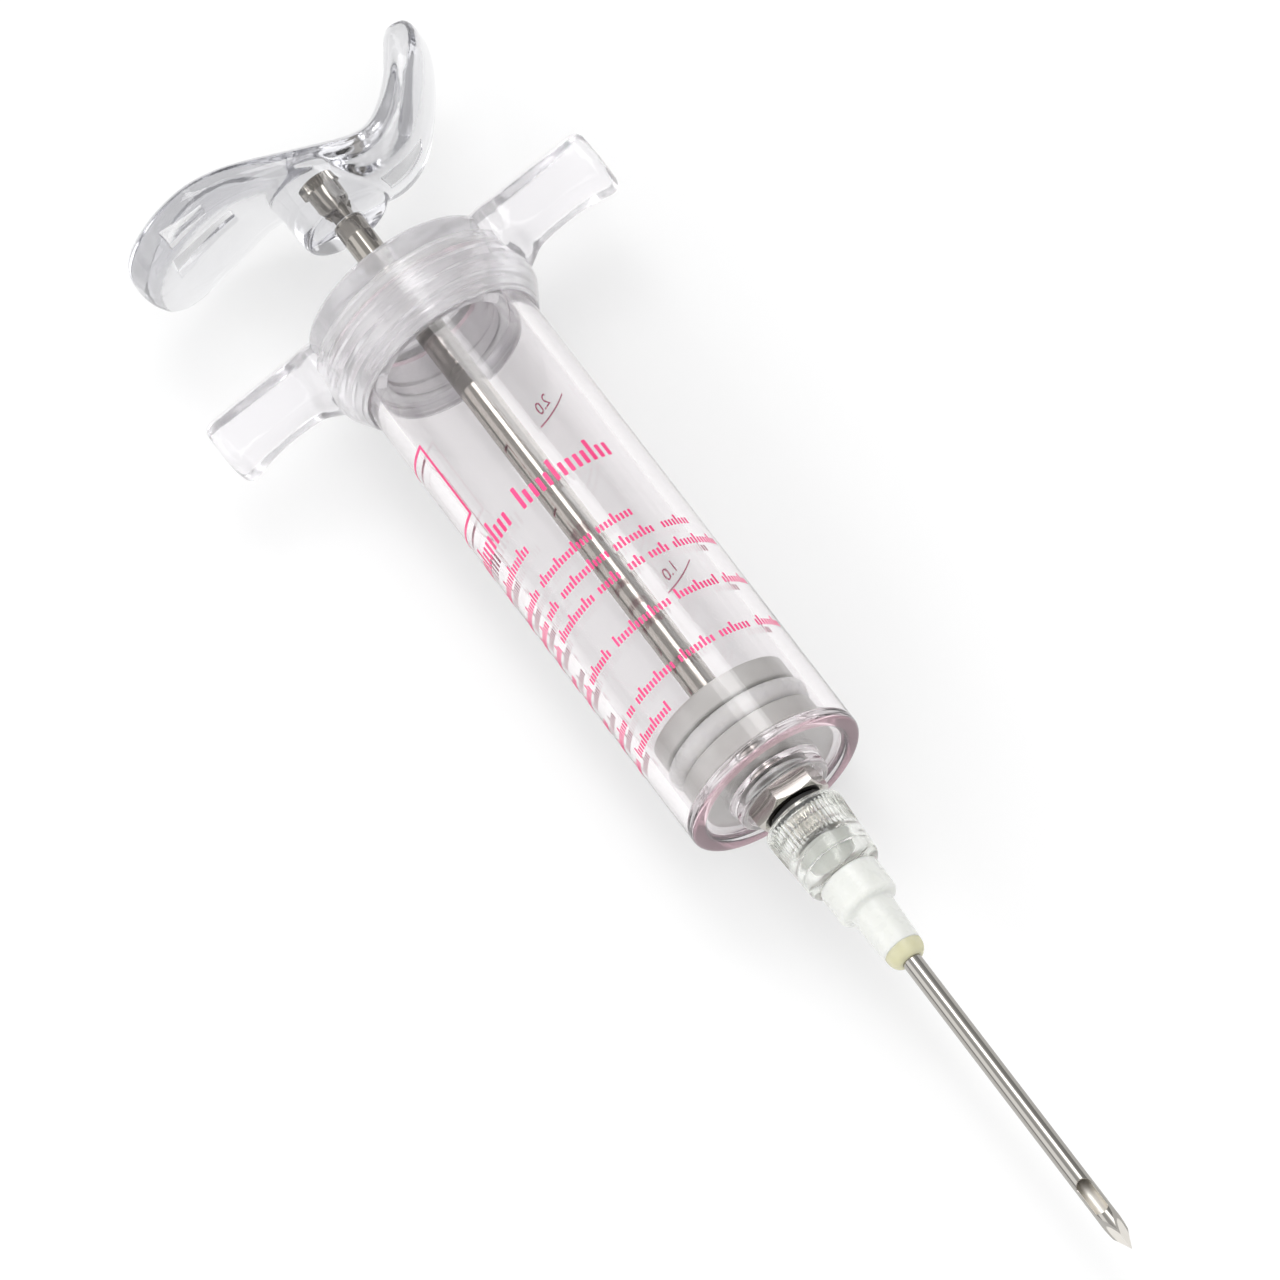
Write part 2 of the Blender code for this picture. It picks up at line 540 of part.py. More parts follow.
def make_cannula(axis, finish):
    """Steel tube with a closed three-faced point and a side port behind it."""
    uncut = NEEDLE_TIP + 3
    bore_end = PORT_FRONT + 0.2
    outline = [(NEEDLE_REAR, NEEDLE_BORE), (NEEDLE_REAR, NEEDLE_RADIUS), (uncut, NEEDLE_RADIUS),
               (uncut, 0.0), (bore_end, 0.0), (bore_end, NEEDLE_BORE)]
    bm = turned_mesh(outline, ROUND_SMALL)
    slope = math.atan2(NEEDLE_RADIUS, NEEDLE_TIP - NEEDLE_SHOULDER)
    for index in range(3):
        roll = math.radians(30 + 120 * index)
        normal = Vector((math.sin(slope), math.cos(slope) * math.cos(roll), math.cos(slope) * math.sin(roll)))
        cut = bmesh.ops.bisect_plane(bm, geom=bm.verts[:] + bm.edges[:] + bm.faces[:], dist=0.0001,
                                     plane_co=(NEEDLE_TIP, 0, 0), plane_no=normal, clear_outer=True)
        rim = [item for item in cut["geom_cut"] if isinstance(item, bmesh.types.BMEdge)]
        bmesh.ops.holes_fill(bm, edges=rim, sides=0)
    bmesh.ops.remove_doubles(bm, verts=bm.verts, dist=0.0005)
    bmesh.ops.recalc_face_normals(bm, faces=bm.faces)
    needle = add_object("needle_cannula", bm, axis, finish)
    half = PORT_WIDTH / 2
    port = bmesh.new()
    rings = []
    for height in (PORT_FLOOR, 2 * NEEDLE_RADIUS):
        ring = []
        for index in range(WING_SIDES):
            turn = 2 * math.pi * (index + 0.5) / WING_SIDES
            end = PORT_FRONT - half if math.cos(turn) > 0 else PORT_REAR + half
            ring.append(port.verts.new((end + half * math.cos(turn), half * math.sin(turn), height)))
        rings.append(ring)
        port.faces.new(ring)
    for index in range(WING_SIDES):
        after = (index + 1) % WING_SIDES
        port.faces.new((rings[0][index], rings[0][after], rings[1][after], rings[1][index]))
    bmesh.ops.recalc_face_normals(port, faces=port.faces)
    combine(needle, add_object("needle_port", port, axis), "DIFFERENCE")


def build():
    start_clean()
    axis = make_axis()
    clear_pink = material("clear_pink", (0.97, 0.90, 0.92), 0.05, transmission=0.9)
    clear_violet = material("clear_violet", (0.94, 0.93, 0.97), 0.05, transmission=0.9)
    clear = material("clear", (0.95, 0.96, 0.96), 0.05, transmission=0.9)
    steel = material("steel", (0.72, 0.70, 0.67), 0.2, metallic=1.0)
    grey_plate = material("grey_plate", (0.72, 0.71, 0.68), 0.4)
    ring_clear = material("ring_clear", (0.88, 0.88, 0.86), 0.3)
    black_rubber = material("black_rubber", (0.03, 0.03, 0.03), 0.6)
    white_plastic = material("white_plastic", (0.93, 0.94, 0.92), 0.35)
    epoxy = material("epoxy", (0.85, 0.83, 0.62), 0.25)

    make_barrel(axis, clear_pink)
    make_fitting_gasket(axis, ring_clear)
    make_luer_fitting(axis, steel)
    make_tip_seal(axis, black_rubber)
    make_cap(axis, clear_violet)
    make_cap_gasket(axis, ring_clear)
    make_piston(grey_plate, ring_clear, axis)
    make_piston_nut(axis, steel)
    make_plunger_rod(axis, steel)
    make_handle(axis, clear)
    make_luer_collar(axis, clear)
    make_needle_hub(axis, white_plastic)
    make_epoxy_bead(axis, epoxy)
    make_cannula(axis, steel)


build()
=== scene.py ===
"""Looks of the meat injector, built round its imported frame.

Pieces are modelled in station millimetres along the tool's axis, counted from the barrel's front rim and
positive towards the needle.  A turn is an angle about the axis from +Z towards +Y.  Every piece's object
sits on the axis at the rim, so its material's object coordinates run along the tool.
"""
import math

import bmesh
import bpy
from mathutils import Matrix, Vector


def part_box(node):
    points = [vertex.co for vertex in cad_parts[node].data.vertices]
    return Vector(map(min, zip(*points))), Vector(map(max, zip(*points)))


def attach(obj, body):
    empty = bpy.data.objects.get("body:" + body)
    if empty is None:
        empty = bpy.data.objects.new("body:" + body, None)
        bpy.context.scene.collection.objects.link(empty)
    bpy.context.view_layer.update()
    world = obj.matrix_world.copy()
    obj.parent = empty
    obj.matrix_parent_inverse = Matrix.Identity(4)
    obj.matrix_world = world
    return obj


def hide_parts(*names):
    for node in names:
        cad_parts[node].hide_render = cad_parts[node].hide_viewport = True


MM = 0.001
FULL_TURN = 2 * math.pi

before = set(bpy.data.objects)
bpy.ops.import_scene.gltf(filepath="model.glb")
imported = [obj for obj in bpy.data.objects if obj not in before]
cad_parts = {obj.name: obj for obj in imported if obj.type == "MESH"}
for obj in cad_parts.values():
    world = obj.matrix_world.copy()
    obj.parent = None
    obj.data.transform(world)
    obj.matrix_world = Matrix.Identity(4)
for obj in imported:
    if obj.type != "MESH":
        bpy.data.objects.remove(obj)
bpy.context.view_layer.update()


# ---- the frame's own measures ----

BOSS_LENGTH = 2.7                         # the barrel's boss stands this far in front of its rim
barrel_low, barrel_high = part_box("barrel")
RIM_X = barrel_high.x - BOSS_LENGTH * MM
AXIS_Z = (barrel_low.z + barrel_high.z) / 2


def ends(node):
    """Rear and front stations of a CAD node."""
    low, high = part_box(node)
    return (low.x - RIM_X) / MM, (high.x - RIM_X) / MM


def radius(node):
    low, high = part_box(node)
    return (high.z - low.z) / 2 / MM


BARREL_REAR = ends("barrel")[0]
BARREL_RADIUS = radius("barrel")
CAP_REAR = ends("cap_gasket")[0] - 5.2
RING_RADIUS = radius("grip_cap") - 0.002
GRIP_SPAN = (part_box("grip_cap")[1].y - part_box("grip_cap")[0].y) / 2 / MM
GRIP_REAR = ends("grip_cap")[0]
PISTON_REAR = ends("piston_rear_plate")[0]
PISTON_FRONT = ends("piston_front_plate")[1]
PISTON_RADIUS = radius("piston_rear_plate")
ROD_REAR = ends("plunger_rod")[0]
ROD_RADIUS = radius("plunger_rod")
HANDLE_REAR = ends("palm_handle")[0]
BOSS_END = ends("palm_handle")[1]
COLLAR_REAR, COLLAR_FRONT = ends("luer_collar")
COLLAR_RADIUS = radius("luer_collar")
HUB_REAR, HUB_FRONT = ends("needle_hub")
BEAD_FRONT = ends("epoxy_bead")[1]
NEEDLE_REAR, NEEDLE_TIP = ends("needle_cannula")
NEEDLE_RADIUS = radius("needle_cannula")

# Detail that the frame's plain solids leave out, millimetres
BORE_RADIUS = 15.0
THREAD_PITCH = 2.5
THREAD_HEIGHT = 0.32
THREAD_ROOM = 0.75                        # from the barrel out to the bottom of the cap's thread
HEX_FLATS = 13.0
HEX_REAR = 0.9
HEX_FRONT = 5.9
HEX_ROLL = math.radians(-13.3)
PASSAGE_RADIUS = 1.2
NOSE_RADIUS = 5.2
NEEDLE_BORE = 1.35
CAP_RING_REACH = 22.6                     # the cap's ring is cloudy up to here, its grips are clearer
SIDES = 160
SMALL_SIDES = 96


# ---- mesh tools ----

def rounded(corners, steps=5):
    """Outline points of (station, radius, fillet) corners, each fillet an arc tangent to both sides."""
    points = []
    count = len(corners)
    for index, (station, away, fillet) in enumerate(corners):
        here = Vector((station, away))
        if fillet == 0:
            points.append(here)
            continue
        back = (Vector(corners[index - 1][:2]) - here).normalized()
        ahead = (Vector(corners[(index + 1) % count][:2]) - here).normalized()
        half_angle = back.angle(ahead) / 2
        centre = here + (back + ahead).normalized() * fillet / math.sin(half_angle)
        start = here + back * fillet / math.tan(half_angle) - centre
        end = here + ahead * fillet / math.tan(half_angle) - centre
        sweep = math.copysign(math.pi - 2 * half_angle, start.cross(end))
        for step in range(steps + 1):
            turn = sweep * step / steps
            points.append(centre + Vector((start.x * math.cos(turn) - start.y * math.sin(turn),
                                           start.x * math.sin(turn) + start.y * math.cos(turn))))
    return [(point.x, point.y) for point in points]


def finer(outline, low, high, step):
    """The outline with extra points wherever a side lies between two stations."""
    points = []
    for (station, away), (next_station, next_away) in zip(outline, outline[1:] + outline[:1]):
        points.append((station, away))
        length = abs(next_station - station)
        if length <= step or max(station, next_station) < low or min(station, next_station) > high:
            continue
        first = max(min(station, next_station), low)
        last = min(max(station, next_station), high)
        extra = [first + (last - first) * index / math.ceil((last - first) / step)
                 for index in range(math.ceil((last - first) / step) + 1)]
        if next_station < station:
            extra.reverse()
        for place in extra:
            share = (place - station) / (next_station - station)
            if 0.001 < share < 0.999:
                points.append((place, away + (next_away - away) * share))
    return points


def lathe(outline, sides, closed=True, relief=None, phase=0.0):
    """A solid of revolution; relief(station, radius, turn) gives each point's own radius."""
    verts = []
    rows = []
    for station, away in outline:
        if away == 0:
            rows.append([len(verts)])
            verts.append((station, 0.0, 0.0))
            continue
        row = []
        for side in range(sides):
            turn = phase + FULL_TURN * side / sides
            reach = relief(station, away, turn) if relief else away
            row.append(len(verts))
            verts.append((station, reach * math.sin(turn), reach * math.cos(turn)))
        rows.append(row)
    pairs = list(zip(rows, rows[1:]))
    if closed:
        pairs.append((rows[-1], rows[0]))
    faces = []
    for one, other in pairs:
        for side in range(sides):
            after = (side + 1) % sides
            if len(one) == 1 and len(other) == 1:
                break
            if len(one) == 1:
                faces.append((one[0], other[after], other[side]))
            elif len(other) == 1:
                faces.append((one[side], one[after], other[0]))
            else:
                faces.append((one[side], one[after], other[after], other[side]))
    return solid(verts, faces)


def solid(verts, faces):
    bm = bmesh.new()
    made = [bm.verts.new(vert) for vert in verts]
    for face in faces:
        bm.faces.new([made[index] for index in face])
    bmesh.ops.recalc_face_normals(bm, faces=bm.faces)
    return bm


def loft(sections):
    """A closed skin through rings of equal length; a one-point ring closes an end."""
    verts = [point for section in sections for point in section]
    faces = []
    start = 0
    for ring, following in zip(sections, sections[1:]):
        count = max(len(ring), len(following))
        after_start = start + len(ring)
        for side in range(count):
            after = (side + 1) % count
            if len(ring) == 1:
                faces.append((start, after_start + after, after_start + side))
            elif len(following) == 1:
                faces.append((start + side, start + after, after_start))
            else:
                faces.append((start + side, start + after, after_start + after, after_start + side))
        start = after_start
    return solid(verts, faces)


def superellipse(half_a, half_b, power, sides):
    points = []
    for index in range(sides):
        turn = FULL_TURN * (index + 0.5) / sides
        points.append((math.copysign(abs(math.cos(turn)) ** (2 / power), math.cos(turn)) * half_a,
                       math.copysign(abs(math.sin(turn)) ** (2 / power), math.sin(turn)) * half_b))
    return points


def catmull_rom(rows, steps):
    padded = [rows[0]] + rows + [rows[-1]]
    smooth = []
    for first, start, end, last in zip(padded, padded[1:], padded[2:], padded[3:]):
        for step in range(steps):
            t = step / steps
            smooth.append([0.5 * (2 * b + (c - a) * t + (2 * a - 5 * b + 4 * c - d) * t ** 2
                                  + (3 * b - a - 3 * c + d) * t ** 3)
                           for a, b, c, d in zip(first, start, end, last)])
    smooth.append(list(rows[-1]))
    return smooth


def block(low, high, bevel, segments=4):
    """A box with rounded edges, as a cutter or a filler."""
    bm = bmesh.new()
    bmesh.ops.create_cube(bm, size=1.0)
    for vert in bm.verts:
        vert.co = Vector([a + (b - a) * (part + 0.5) for a, b, part in zip(low, high, vert.co)])
    bmesh.ops.bevel(bm, geom=bm.edges[:], offset=bevel, segments=segments, affect="EDGES", profile=0.5)
    return bm


def mesh_of(name, bm):
    mesh = bpy.data.meshes.new(name)
    bm.to_mesh(mesh)
    bm.free()
    return mesh


def scratch(name, bm):
    """An object for a Boolean or a remesh, taken away again by boolean() or take()."""
    made = bpy.data.objects.new(name, mesh_of(name, bm))
    bpy.context.scene.collection.objects.link(made)
    return made


def boolean(target, bm, operation):
    tool = scratch("tool", bm)
    step = target.modifiers.new(operation.lower(), "BOOLEAN")
    step.operation = operation
    step.solver = "EXACT"
    step.object = tool
    settle(target)
    bpy.data.objects.remove(tool, do_unlink=True)


def settle(target):
    """Apply an object's modifiers to its mesh."""
    evaluated = target.evaluated_get(bpy.context.evaluated_depsgraph_get())
    mesh = bpy.data.meshes.new_from_object(evaluated)
    target.modifiers.clear()
    target.data = mesh


def take(target):
    """The bmesh of a scratch object, which is removed."""
    bm = bmesh.new()
    bm.from_mesh(target.data)
    bpy.data.objects.remove(target, do_unlink=True)
    return bm


def place(name, bm, body, finish, slot=None, replaces=(), sharp=35):
    """Turn a bmesh in station millimetres into a finished piece that rides on a body."""
    bmesh.ops.scale(bm, verts=bm.verts, vec=(MM, MM, MM))
    mesh = mesh_of(name, bm)
    mesh.materials.clear()
    mesh.materials.append(finish)
    mesh.shade_smooth()
    mesh.set_sharp_from_angle(angle=math.radians(sharp))
    piece = bpy.data.objects.new(name, mesh)
    piece.location = (RIM_X, 0.0, AXIS_Z)
    bpy.context.scene.collection.objects.link(piece)
    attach(piece, body)
    if replaces:
        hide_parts(*replaces)
    return piece


# ---- materials ----

def start_material(name):
    made = bpy.data.materials.new(name)
    made.use_nodes = True
    return made, made.node_tree, made.node_tree.nodes["Principled BSDF"]


def noise(tree, scale, detail=3.0, stretch=(1.0, 1.0, 1.0)):
    """Noise in the piece's own space; scale is features per metre."""
    nodes, links = tree.nodes, tree.links
    coordinates = nodes.new("ShaderNodeTexCoord")
    mapping = nodes.new("ShaderNodeMapping")
    mapping.inputs["Scale"].default_value = stretch
    texture = nodes.new("ShaderNodeTexNoise")
    texture.inputs["Scale"].default_value = scale
    texture.inputs["Detail"].default_value = detail
    links.new(coordinates.outputs["Object"], mapping.inputs["Vector"])
    links.new(mapping.outputs["Vector"], texture.inputs["Vector"])
    return texture.outputs["Fac"]


def spread(tree, value, low, high, start=0.3, end=0.7):
    """Map a noise value to a range of numbers."""
    node = tree.nodes.new("ShaderNodeMapRange")
    node.inputs["From Min"].default_value = start
    node.inputs["From Max"].default_value = end
    node.inputs["To Min"].default_value = low
    node.inputs["To Max"].default_value = high
    tree.links.new(value, node.inputs["Value"])
    return node.outputs["Result"]


def shades(tree, value, dark, light, start=0.3, end=0.7):
    """Map a noise value to a colour between two shades."""
    node = tree.nodes.new("ShaderNodeValToRGB")
    node.color_ramp.elements[0].position = start
    node.color_ramp.elements[0].color = (*dark, 1.0)
    node.color_ramp.elements[1].position = end
    node.color_ramp.elements[1].color = (*light, 1.0)
    tree.links.new(value, node.inputs["Fac"])
    return node.outputs["Color"]


def bumps(tree, shader, *layers):
    """Stack bump layers of (height, distance in metres, strength)."""
    normal = None
    for height, distance, strength in layers:
        node = tree.nodes.new("ShaderNodeBump")
        node.inputs["Strength"].default_value = strength
        node.inputs["Distance"].default_value = distance
        tree.links.new(height, node.inputs["Height"])
        if normal:
            tree.links.new(normal, node.inputs["Normal"])
        normal = node.outputs["Normal"]
    tree.links.new(normal, shader.inputs["Normal"])


def clear_plastic(name, dark, light, absorbed, density, waviness=0.35, rough=(0.012, 0.05), clearness=1.0,
                  run=(0.35, 1.0, 1.0), streaked=0.0):
    """Clear moulding: faint flow waves, fine scratches, and a tint that deepens with thickness."""
    made, tree, shader = start_material(name)
    shader.inputs["Transmission Weight"].default_value = clearness
    shader.inputs["IOR"].default_value = 1.5
    tree.links.new(shades(tree, noise(tree, 90, 2.0), dark, light), shader.inputs["Base Color"])
    tree.links.new(spread(tree, noise(tree, 260, 4.0), *rough), shader.inputs["Roughness"])
    flow = noise(tree, 70, 1.5, run)
    scratches = noise(tree, 3500, 2.0, (0.05, 1.0, 1.0))
    streaks = noise(tree, 330, 2.0, (1.0, 0.14, 1.0))
    bumps(tree, shader, (flow, 0.00035, waviness), (streaks, 0.00012, streaked), (scratches, 0.000004, 0.25))
    absorption = tree.nodes.new("ShaderNodeVolumeAbsorption")
    absorption.inputs["Color"].default_value = (*absorbed, 1.0)
    absorption.inputs["Density"].default_value = density
    tree.links.new(absorption.outputs["Volume"], tree.nodes["Material Output"].inputs["Volume"])
    return made


def metal(name, dark, light, rough, grain, stretch, depth=0.0000015):
    """Drawn or turned steel: streaks along one direction in its colour, gloss and surface."""
    made, tree, shader = start_material(name)
    shader.inputs["Metallic"].default_value = 1.0
    streaks = noise(tree, grain, 4.0, stretch)
    tree.links.new(shades(tree, noise(tree, 120, 3.0, stretch), dark, light), shader.inputs["Base Color"])
    tree.links.new(spread(tree, streaks, *rough), shader.inputs["Roughness"])
    bumps(tree, shader, (streaks, depth, 0.6), (noise(tree, 900, 2.0), 0.000002, 0.3))
    return made


def moulded(name, dark, light, rough, transmission=0.0, subsurface=0.0, grain=1500, depth=0.00001, lumps=0.2):
    """Opaque or translucent plastic, rubber or adhesive with a fine moulded surface."""
    made, tree, shader = start_material(name)
    shader.inputs["Transmission Weight"].default_value = transmission
    shader.inputs["IOR"].default_value = 1.48
    shader.inputs["Subsurface Weight"].default_value = subsurface
    shader.inputs["Subsurface Radius"].default_value = (1.0, 1.0, 0.9)
    shader.inputs["Subsurface Scale"].default_value = 0.002
    tree.links.new(shades(tree, noise(tree, 220, 3.0), dark, light), shader.inputs["Base Color"])
    tree.links.new(spread(tree, noise(tree, 500, 3.0), *rough), shader.inputs["Roughness"])
    bumps(tree, shader, (noise(tree, grain, 3.0), depth, 0.35), (noise(tree, 150, 2.0), 0.0001, lumps))
    return made


def arithmetic(tree, operation, *values):
    """A math node on numbers and sockets."""
    node = tree.nodes.new("ShaderNodeMath")
    node.operation = operation
    for socket, value in zip(node.inputs, values):
        if isinstance(value, float):
            socket.default_value = value
        else:
            tree.links.new(value, socket)
    return node.outputs["Value"]


def from_axis(tree):
    """Station and distance from the tool's axis, in metres, of the point that is shaded."""
    coordinates = tree.nodes.new("ShaderNodeTexCoord")
    split = tree.nodes.new("ShaderNodeSeparateXYZ")
    tree.links.new(coordinates.outputs["Object"], split.inputs["Vector"])
    away = arithmetic(tree, "SQRT", arithmetic(
        tree, "ADD", arithmetic(tree, "MULTIPLY", split.outputs["Y"], split.outputs["Y"]),
        arithmetic(tree, "MULTIPLY", split.outputs["Z"], split.outputs["Z"])))
    return split.outputs["X"], away


# the clouding of the rim is part of its painted glow
RIM_GLOW_CLEARNESS = 0.78                      # share of light that still passes the barrel's front end face


def paint_rim_glow(made, tint, bore, depth):
    """Painted glow: deepen and cloud the colour of a tube's front end face, standing in for the light from
    along the wall that comes out there.
    """
    tree = made.node_tree
    shader = tree.nodes["Principled BSDF"]
    plain = shader.inputs["Base Color"].links[0].from_socket
    along, away = from_axis(tree)
    at_wall = spread(tree, away, 0.0, 1.0, bore * MM - 0.0002, bore * MM + 0.0002)
    at_end = spread(tree, along, 0.0, 1.0, -depth * MM, -depth * MM + 0.0003)
    glow_face = arithmetic(tree, "MULTIPLY", at_wall, at_end)
    blend = tree.nodes.new("ShaderNodeMix")
    blend.data_type = "RGBA"
    tree.links.new(glow_face, blend.inputs["Factor"])
    tree.links.new(plain, blend.inputs["A"])
    blend.inputs["B"].default_value = (*tint, 1.0)
    tree.links.new(blend.outputs["Result"], shader.inputs["Base Color"])
    cloud = spread(tree, glow_face, 1.0, RIM_GLOW_CLEARNESS, 0.0, 1.0)
    tree.links.new(cloud, shader.inputs["Transmission Weight"])


def cloud_middle(made, reach, inner, outer):
    """Cloud a moulding's ring and leave what stands out beyond it clear."""
    tree = made.node_tree
    away = from_axis(tree)[1]
    clearness = spread(tree, away, inner, outer, reach * MM - 0.0015, reach * MM + 0.0015)
    tree.links.new(clearness, tree.nodes["Principled BSDF"].inputs["Transmission Weight"])


def dull_and_lit_bore(made, reach, lit_colour, rough):
    """Give a tube's inside, nearer to the axis than reach, a duller skin than its outside, and a lighter
    colour that is painted light, so the inside reads lit rather than dark.
    """
    tree = made.node_tree
    shader = tree.nodes["Principled BSDF"]
    away = from_axis(tree)[1]
    inside = spread(tree, away, 1.0, 0.0, reach * MM, (reach + 0.1) * MM)
    blend = tree.nodes.new("ShaderNodeMix")
    blend.data_type = "RGBA"
    tree.links.new(inside, blend.inputs["Factor"])
    tree.links.new(shader.inputs["Base Color"].links[0].from_socket, blend.inputs["A"])
    blend.inputs["B"].default_value = (*lit_colour, 1.0)
    tree.links.new(blend.outputs["Result"], shader.inputs["Base Color"])
    rougher = arithmetic(tree, "MULTIPLY", inside, rough)
    plain = shader.inputs["Roughness"].links[0].from_socket
    tree.links.new(arithmetic(tree, "MAXIMUM", plain, rougher), shader.inputs["Roughness"])


ALONG = (0.02, 1.0, 1.0)
ROUND = (1.0, 0.03, 0.03)
BARREL_CLEAR = clear_plastic("barrel_clear", (0.98, 0.97, 0.975), (0.99, 0.98, 0.985),
                             (0.66, 0.46, 0.53), 8.0, 0.2)
CAP_CLEAR = clear_plastic("cap_clear", (0.985, 0.975, 0.99), (1.0, 0.99, 1.0),
                          (0.70, 0.66, 0.76), 5.0, 0.55, (0.05, 0.13), run=(1.6, 0.35, 1.0), streaked=1.0)
HANDLE_CLEAR = clear_plastic("handle_clear", (0.94, 0.94, 0.945), (0.965, 0.965, 0.965),
                             (0.60, 0.60, 0.63), 34.0, 0.25, streaked=0.35)
COLLAR_CLEAR = clear_plastic("collar_clear", (0.97, 0.975, 0.96), (0.985, 0.99, 0.975),
                             (0.66, 0.70, 0.58), 25.0, clearness=0.95)
# painted glow: the barrel's front end face is tinted pink and clouded to stand in for light piped along its
# wall
paint_rim_glow(BARREL_CLEAR, (1.0, 0.66, 0.75), BORE_RADIUS + 0.3, 0.5)
cloud_middle(CAP_CLEAR, CAP_RING_REACH, 0.78, 0.93)
ROD_STEEL = metal("rod_steel", (0.30, 0.28, 0.255), (0.41, 0.39, 0.36), (0.03, 0.10), 5000, ALONG)
NEEDLE_STEEL = metal("needle_steel", (0.35, 0.335, 0.31), (0.45, 0.435, 0.41), (0.04, 0.11), 7000, ALONG)
# painted light: the bore's lighter colour stands in for light coming in through the side port; its extra
# roughness is a real duller skin
dull_and_lit_bore(NEEDLE_STEEL, NEEDLE_BORE, (0.80, 0.77, 0.72), 0.45)
FITTING_METAL = metal("fitting_metal", (0.50, 0.475, 0.445), (0.64, 0.61, 0.575), (0.10, 0.24), 5000, ROUND)
PISTON_GREY = moulded("piston_grey", (0.62, 0.615, 0.59), (0.70, 0.695, 0.67), (0.3, 0.42), depth=0.000002)
CLEAR_RUBBER = moulded("clear_rubber", (0.84, 0.84, 0.825), (0.87, 0.87, 0.86), (0.22, 0.34), subsurface=0.4,
                       depth=0.000002, lumps=0.03)
BLACK_RUBBER = moulded("black_rubber", (0.012, 0.012, 0.012), (0.03, 0.03, 0.03), (0.4, 0.6))
HUB_WHITE = moulded("hub_white", (0.725, 0.735, 0.705), (0.75, 0.758, 0.73), (0.22, 0.34),
                    subsurface=0.7, lumps=0.08)
EPOXY = moulded("epoxy", (0.80, 0.77, 0.50), (0.90, 0.87, 0.62), (0.12, 0.25),
                transmission=0.35, subsurface=0.3)
INK = moulded("ink", (0.80, 0.045, 0.20), (0.88, 0.085, 0.27), (0.35, 0.5), grain=6000, depth=0.000004)


# ---- the barrel and what is fixed in its front end ----

def ridge(station, turn, pitch, offset=0.0):
    """Height, 0 to 1, of a round right-hand thread ridge at a place."""
    share = (station / pitch + turn / FULL_TURN + offset) % 1.0
    return max(0.0, math.sin(math.pi * share)) ** 3


def fade(value, low, high, run):
    """1 inside a range of stations, running out to 0 at its ends."""
    inside = min(value - low, high - value) / run
    inside = min(max(inside, 0.0), 1.0)
    return inside * inside * (3 - 2 * inside)


def make_barrel():
    thread_rear = BARREL_REAR + 1.0
    thread_front = BARREL_REAR + 9.6

    def relief(station, away, turn):
        if away < BARREL_RADIUS - 0.2:
            return away
        height = THREAD_HEIGHT * ridge(station, turn, THREAD_PITCH)
        return away + height * fade(station, thread_rear, thread_front, 1.5)

    pocket_radius = HEX_FLATS / 2 / math.cos(math.pi / 6) + 0.4
    pocket_floor = HEX_REAR - 1.2
    outline = rounded([
        (BARREL_REAR, BORE_RADIUS, 0.4), (-3.0, BORE_RADIUS, 0.4),
        (-3.0, 3.4, 0), (pocket_floor, 3.4, 0), (pocket_floor, pocket_radius, 0.2),
        (BOSS_LENGTH, pocket_radius, 0.3), (BOSS_LENGTH, 9.3, 0.6), (-0.8, 9.3, 0.6),
        (-0.8, BORE_RADIUS, 0.5), (0.0, BORE_RADIUS, 0.4),
        (0.0, BARREL_RADIUS, 0.9), (BARREL_REAR, BARREL_RADIUS, 0.5)])
    outline = finer(outline, thread_rear - 0.3, thread_front + 0.3, 0.18)
    place("barrel_tube", lathe(outline, SIDES, relief=relief), "barrel", BARREL_CLEAR, "clear_pink",
          ["barrel"])


def make_fitting_gasket():
    outer = HEX_FLATS / 2 + 0.6
    outline = rounded([(HEX_REAR - 0.9, 3.5, 0.1), (HEX_REAR - 0.9, outer, 0.15),
                       (HEX_REAR - 0.3, outer, 0.15), (HEX_REAR - 0.3, 3.5, 0.1)])
    place("flat_gasket", lathe(outline, SMALL_SIDES), "barrel", CLEAR_RUBBER, "clear_rubber",
          ["fitting_gasket"])


def hexagon(flats, turn):
    """Radius of a hexagon's side at a turn from one of its corners."""
    share = (turn % (math.pi / 3)) - math.pi / 6
    return flats / 2 / math.cos(share)


def make_luer_fitting():
    """Hexagon with turned chamfers, knurled nose and tapered male tip."""
    corner = HEX_FLATS / 2 / math.cos(math.pi / 6)
    knurls = 32
    nose_rear = COLLAR_REAR + 0.3
    nose_front = 14.0

    def relief(station, away, turn):
        if away > HEX_FLATS / 2 - 0.2:
            edge = min(station - HEX_REAR, HEX_FRONT - station)
            turned = HEX_FLATS / 2 - 0.05 + edge * 1.7
            return min(hexagon(HEX_FLATS, turn - HEX_ROLL), turned, away)
        if nose_rear < station < nose_front and away > NOSE_RADIUS - 0.4:
            cut = 0.5 - 0.5 * math.cos(knurls * turn)
            return away - 0.3 * cut * fade(station, nose_rear, nose_front - 0.8, 0.5)
        return away

    outline = rounded([
        (-2.7, PASSAGE_RADIUS, 0.2), (-2.7, 3.1, 0.2), (HEX_REAR, 3.1, 0),
        (HEX_REAR, corner, 0), (HEX_FRONT, corner, 0), (HEX_FRONT, NOSE_RADIUS - 0.6, 0.2),
        (nose_rear, NOSE_RADIUS - 0.6, 0.1), (nose_rear, NOSE_RADIUS, 0.3),
        (nose_front, NOSE_RADIUS, 0.5), (nose_front, 2.15, 0.3), (20.8, 1.95, 0.2),
        (20.8, PASSAGE_RADIUS, 0.2)])
    outline = finer(outline, HEX_REAR, HEX_FRONT, 0.12)
    outline = finer(outline, nose_rear, nose_front, 0.25)
    place("luer_nose", lathe(outline, 192, relief=relief, phase=HEX_ROLL), "barrel", FITTING_METAL,
          "fitting_metal", ["luer_fitting"], sharp=28)


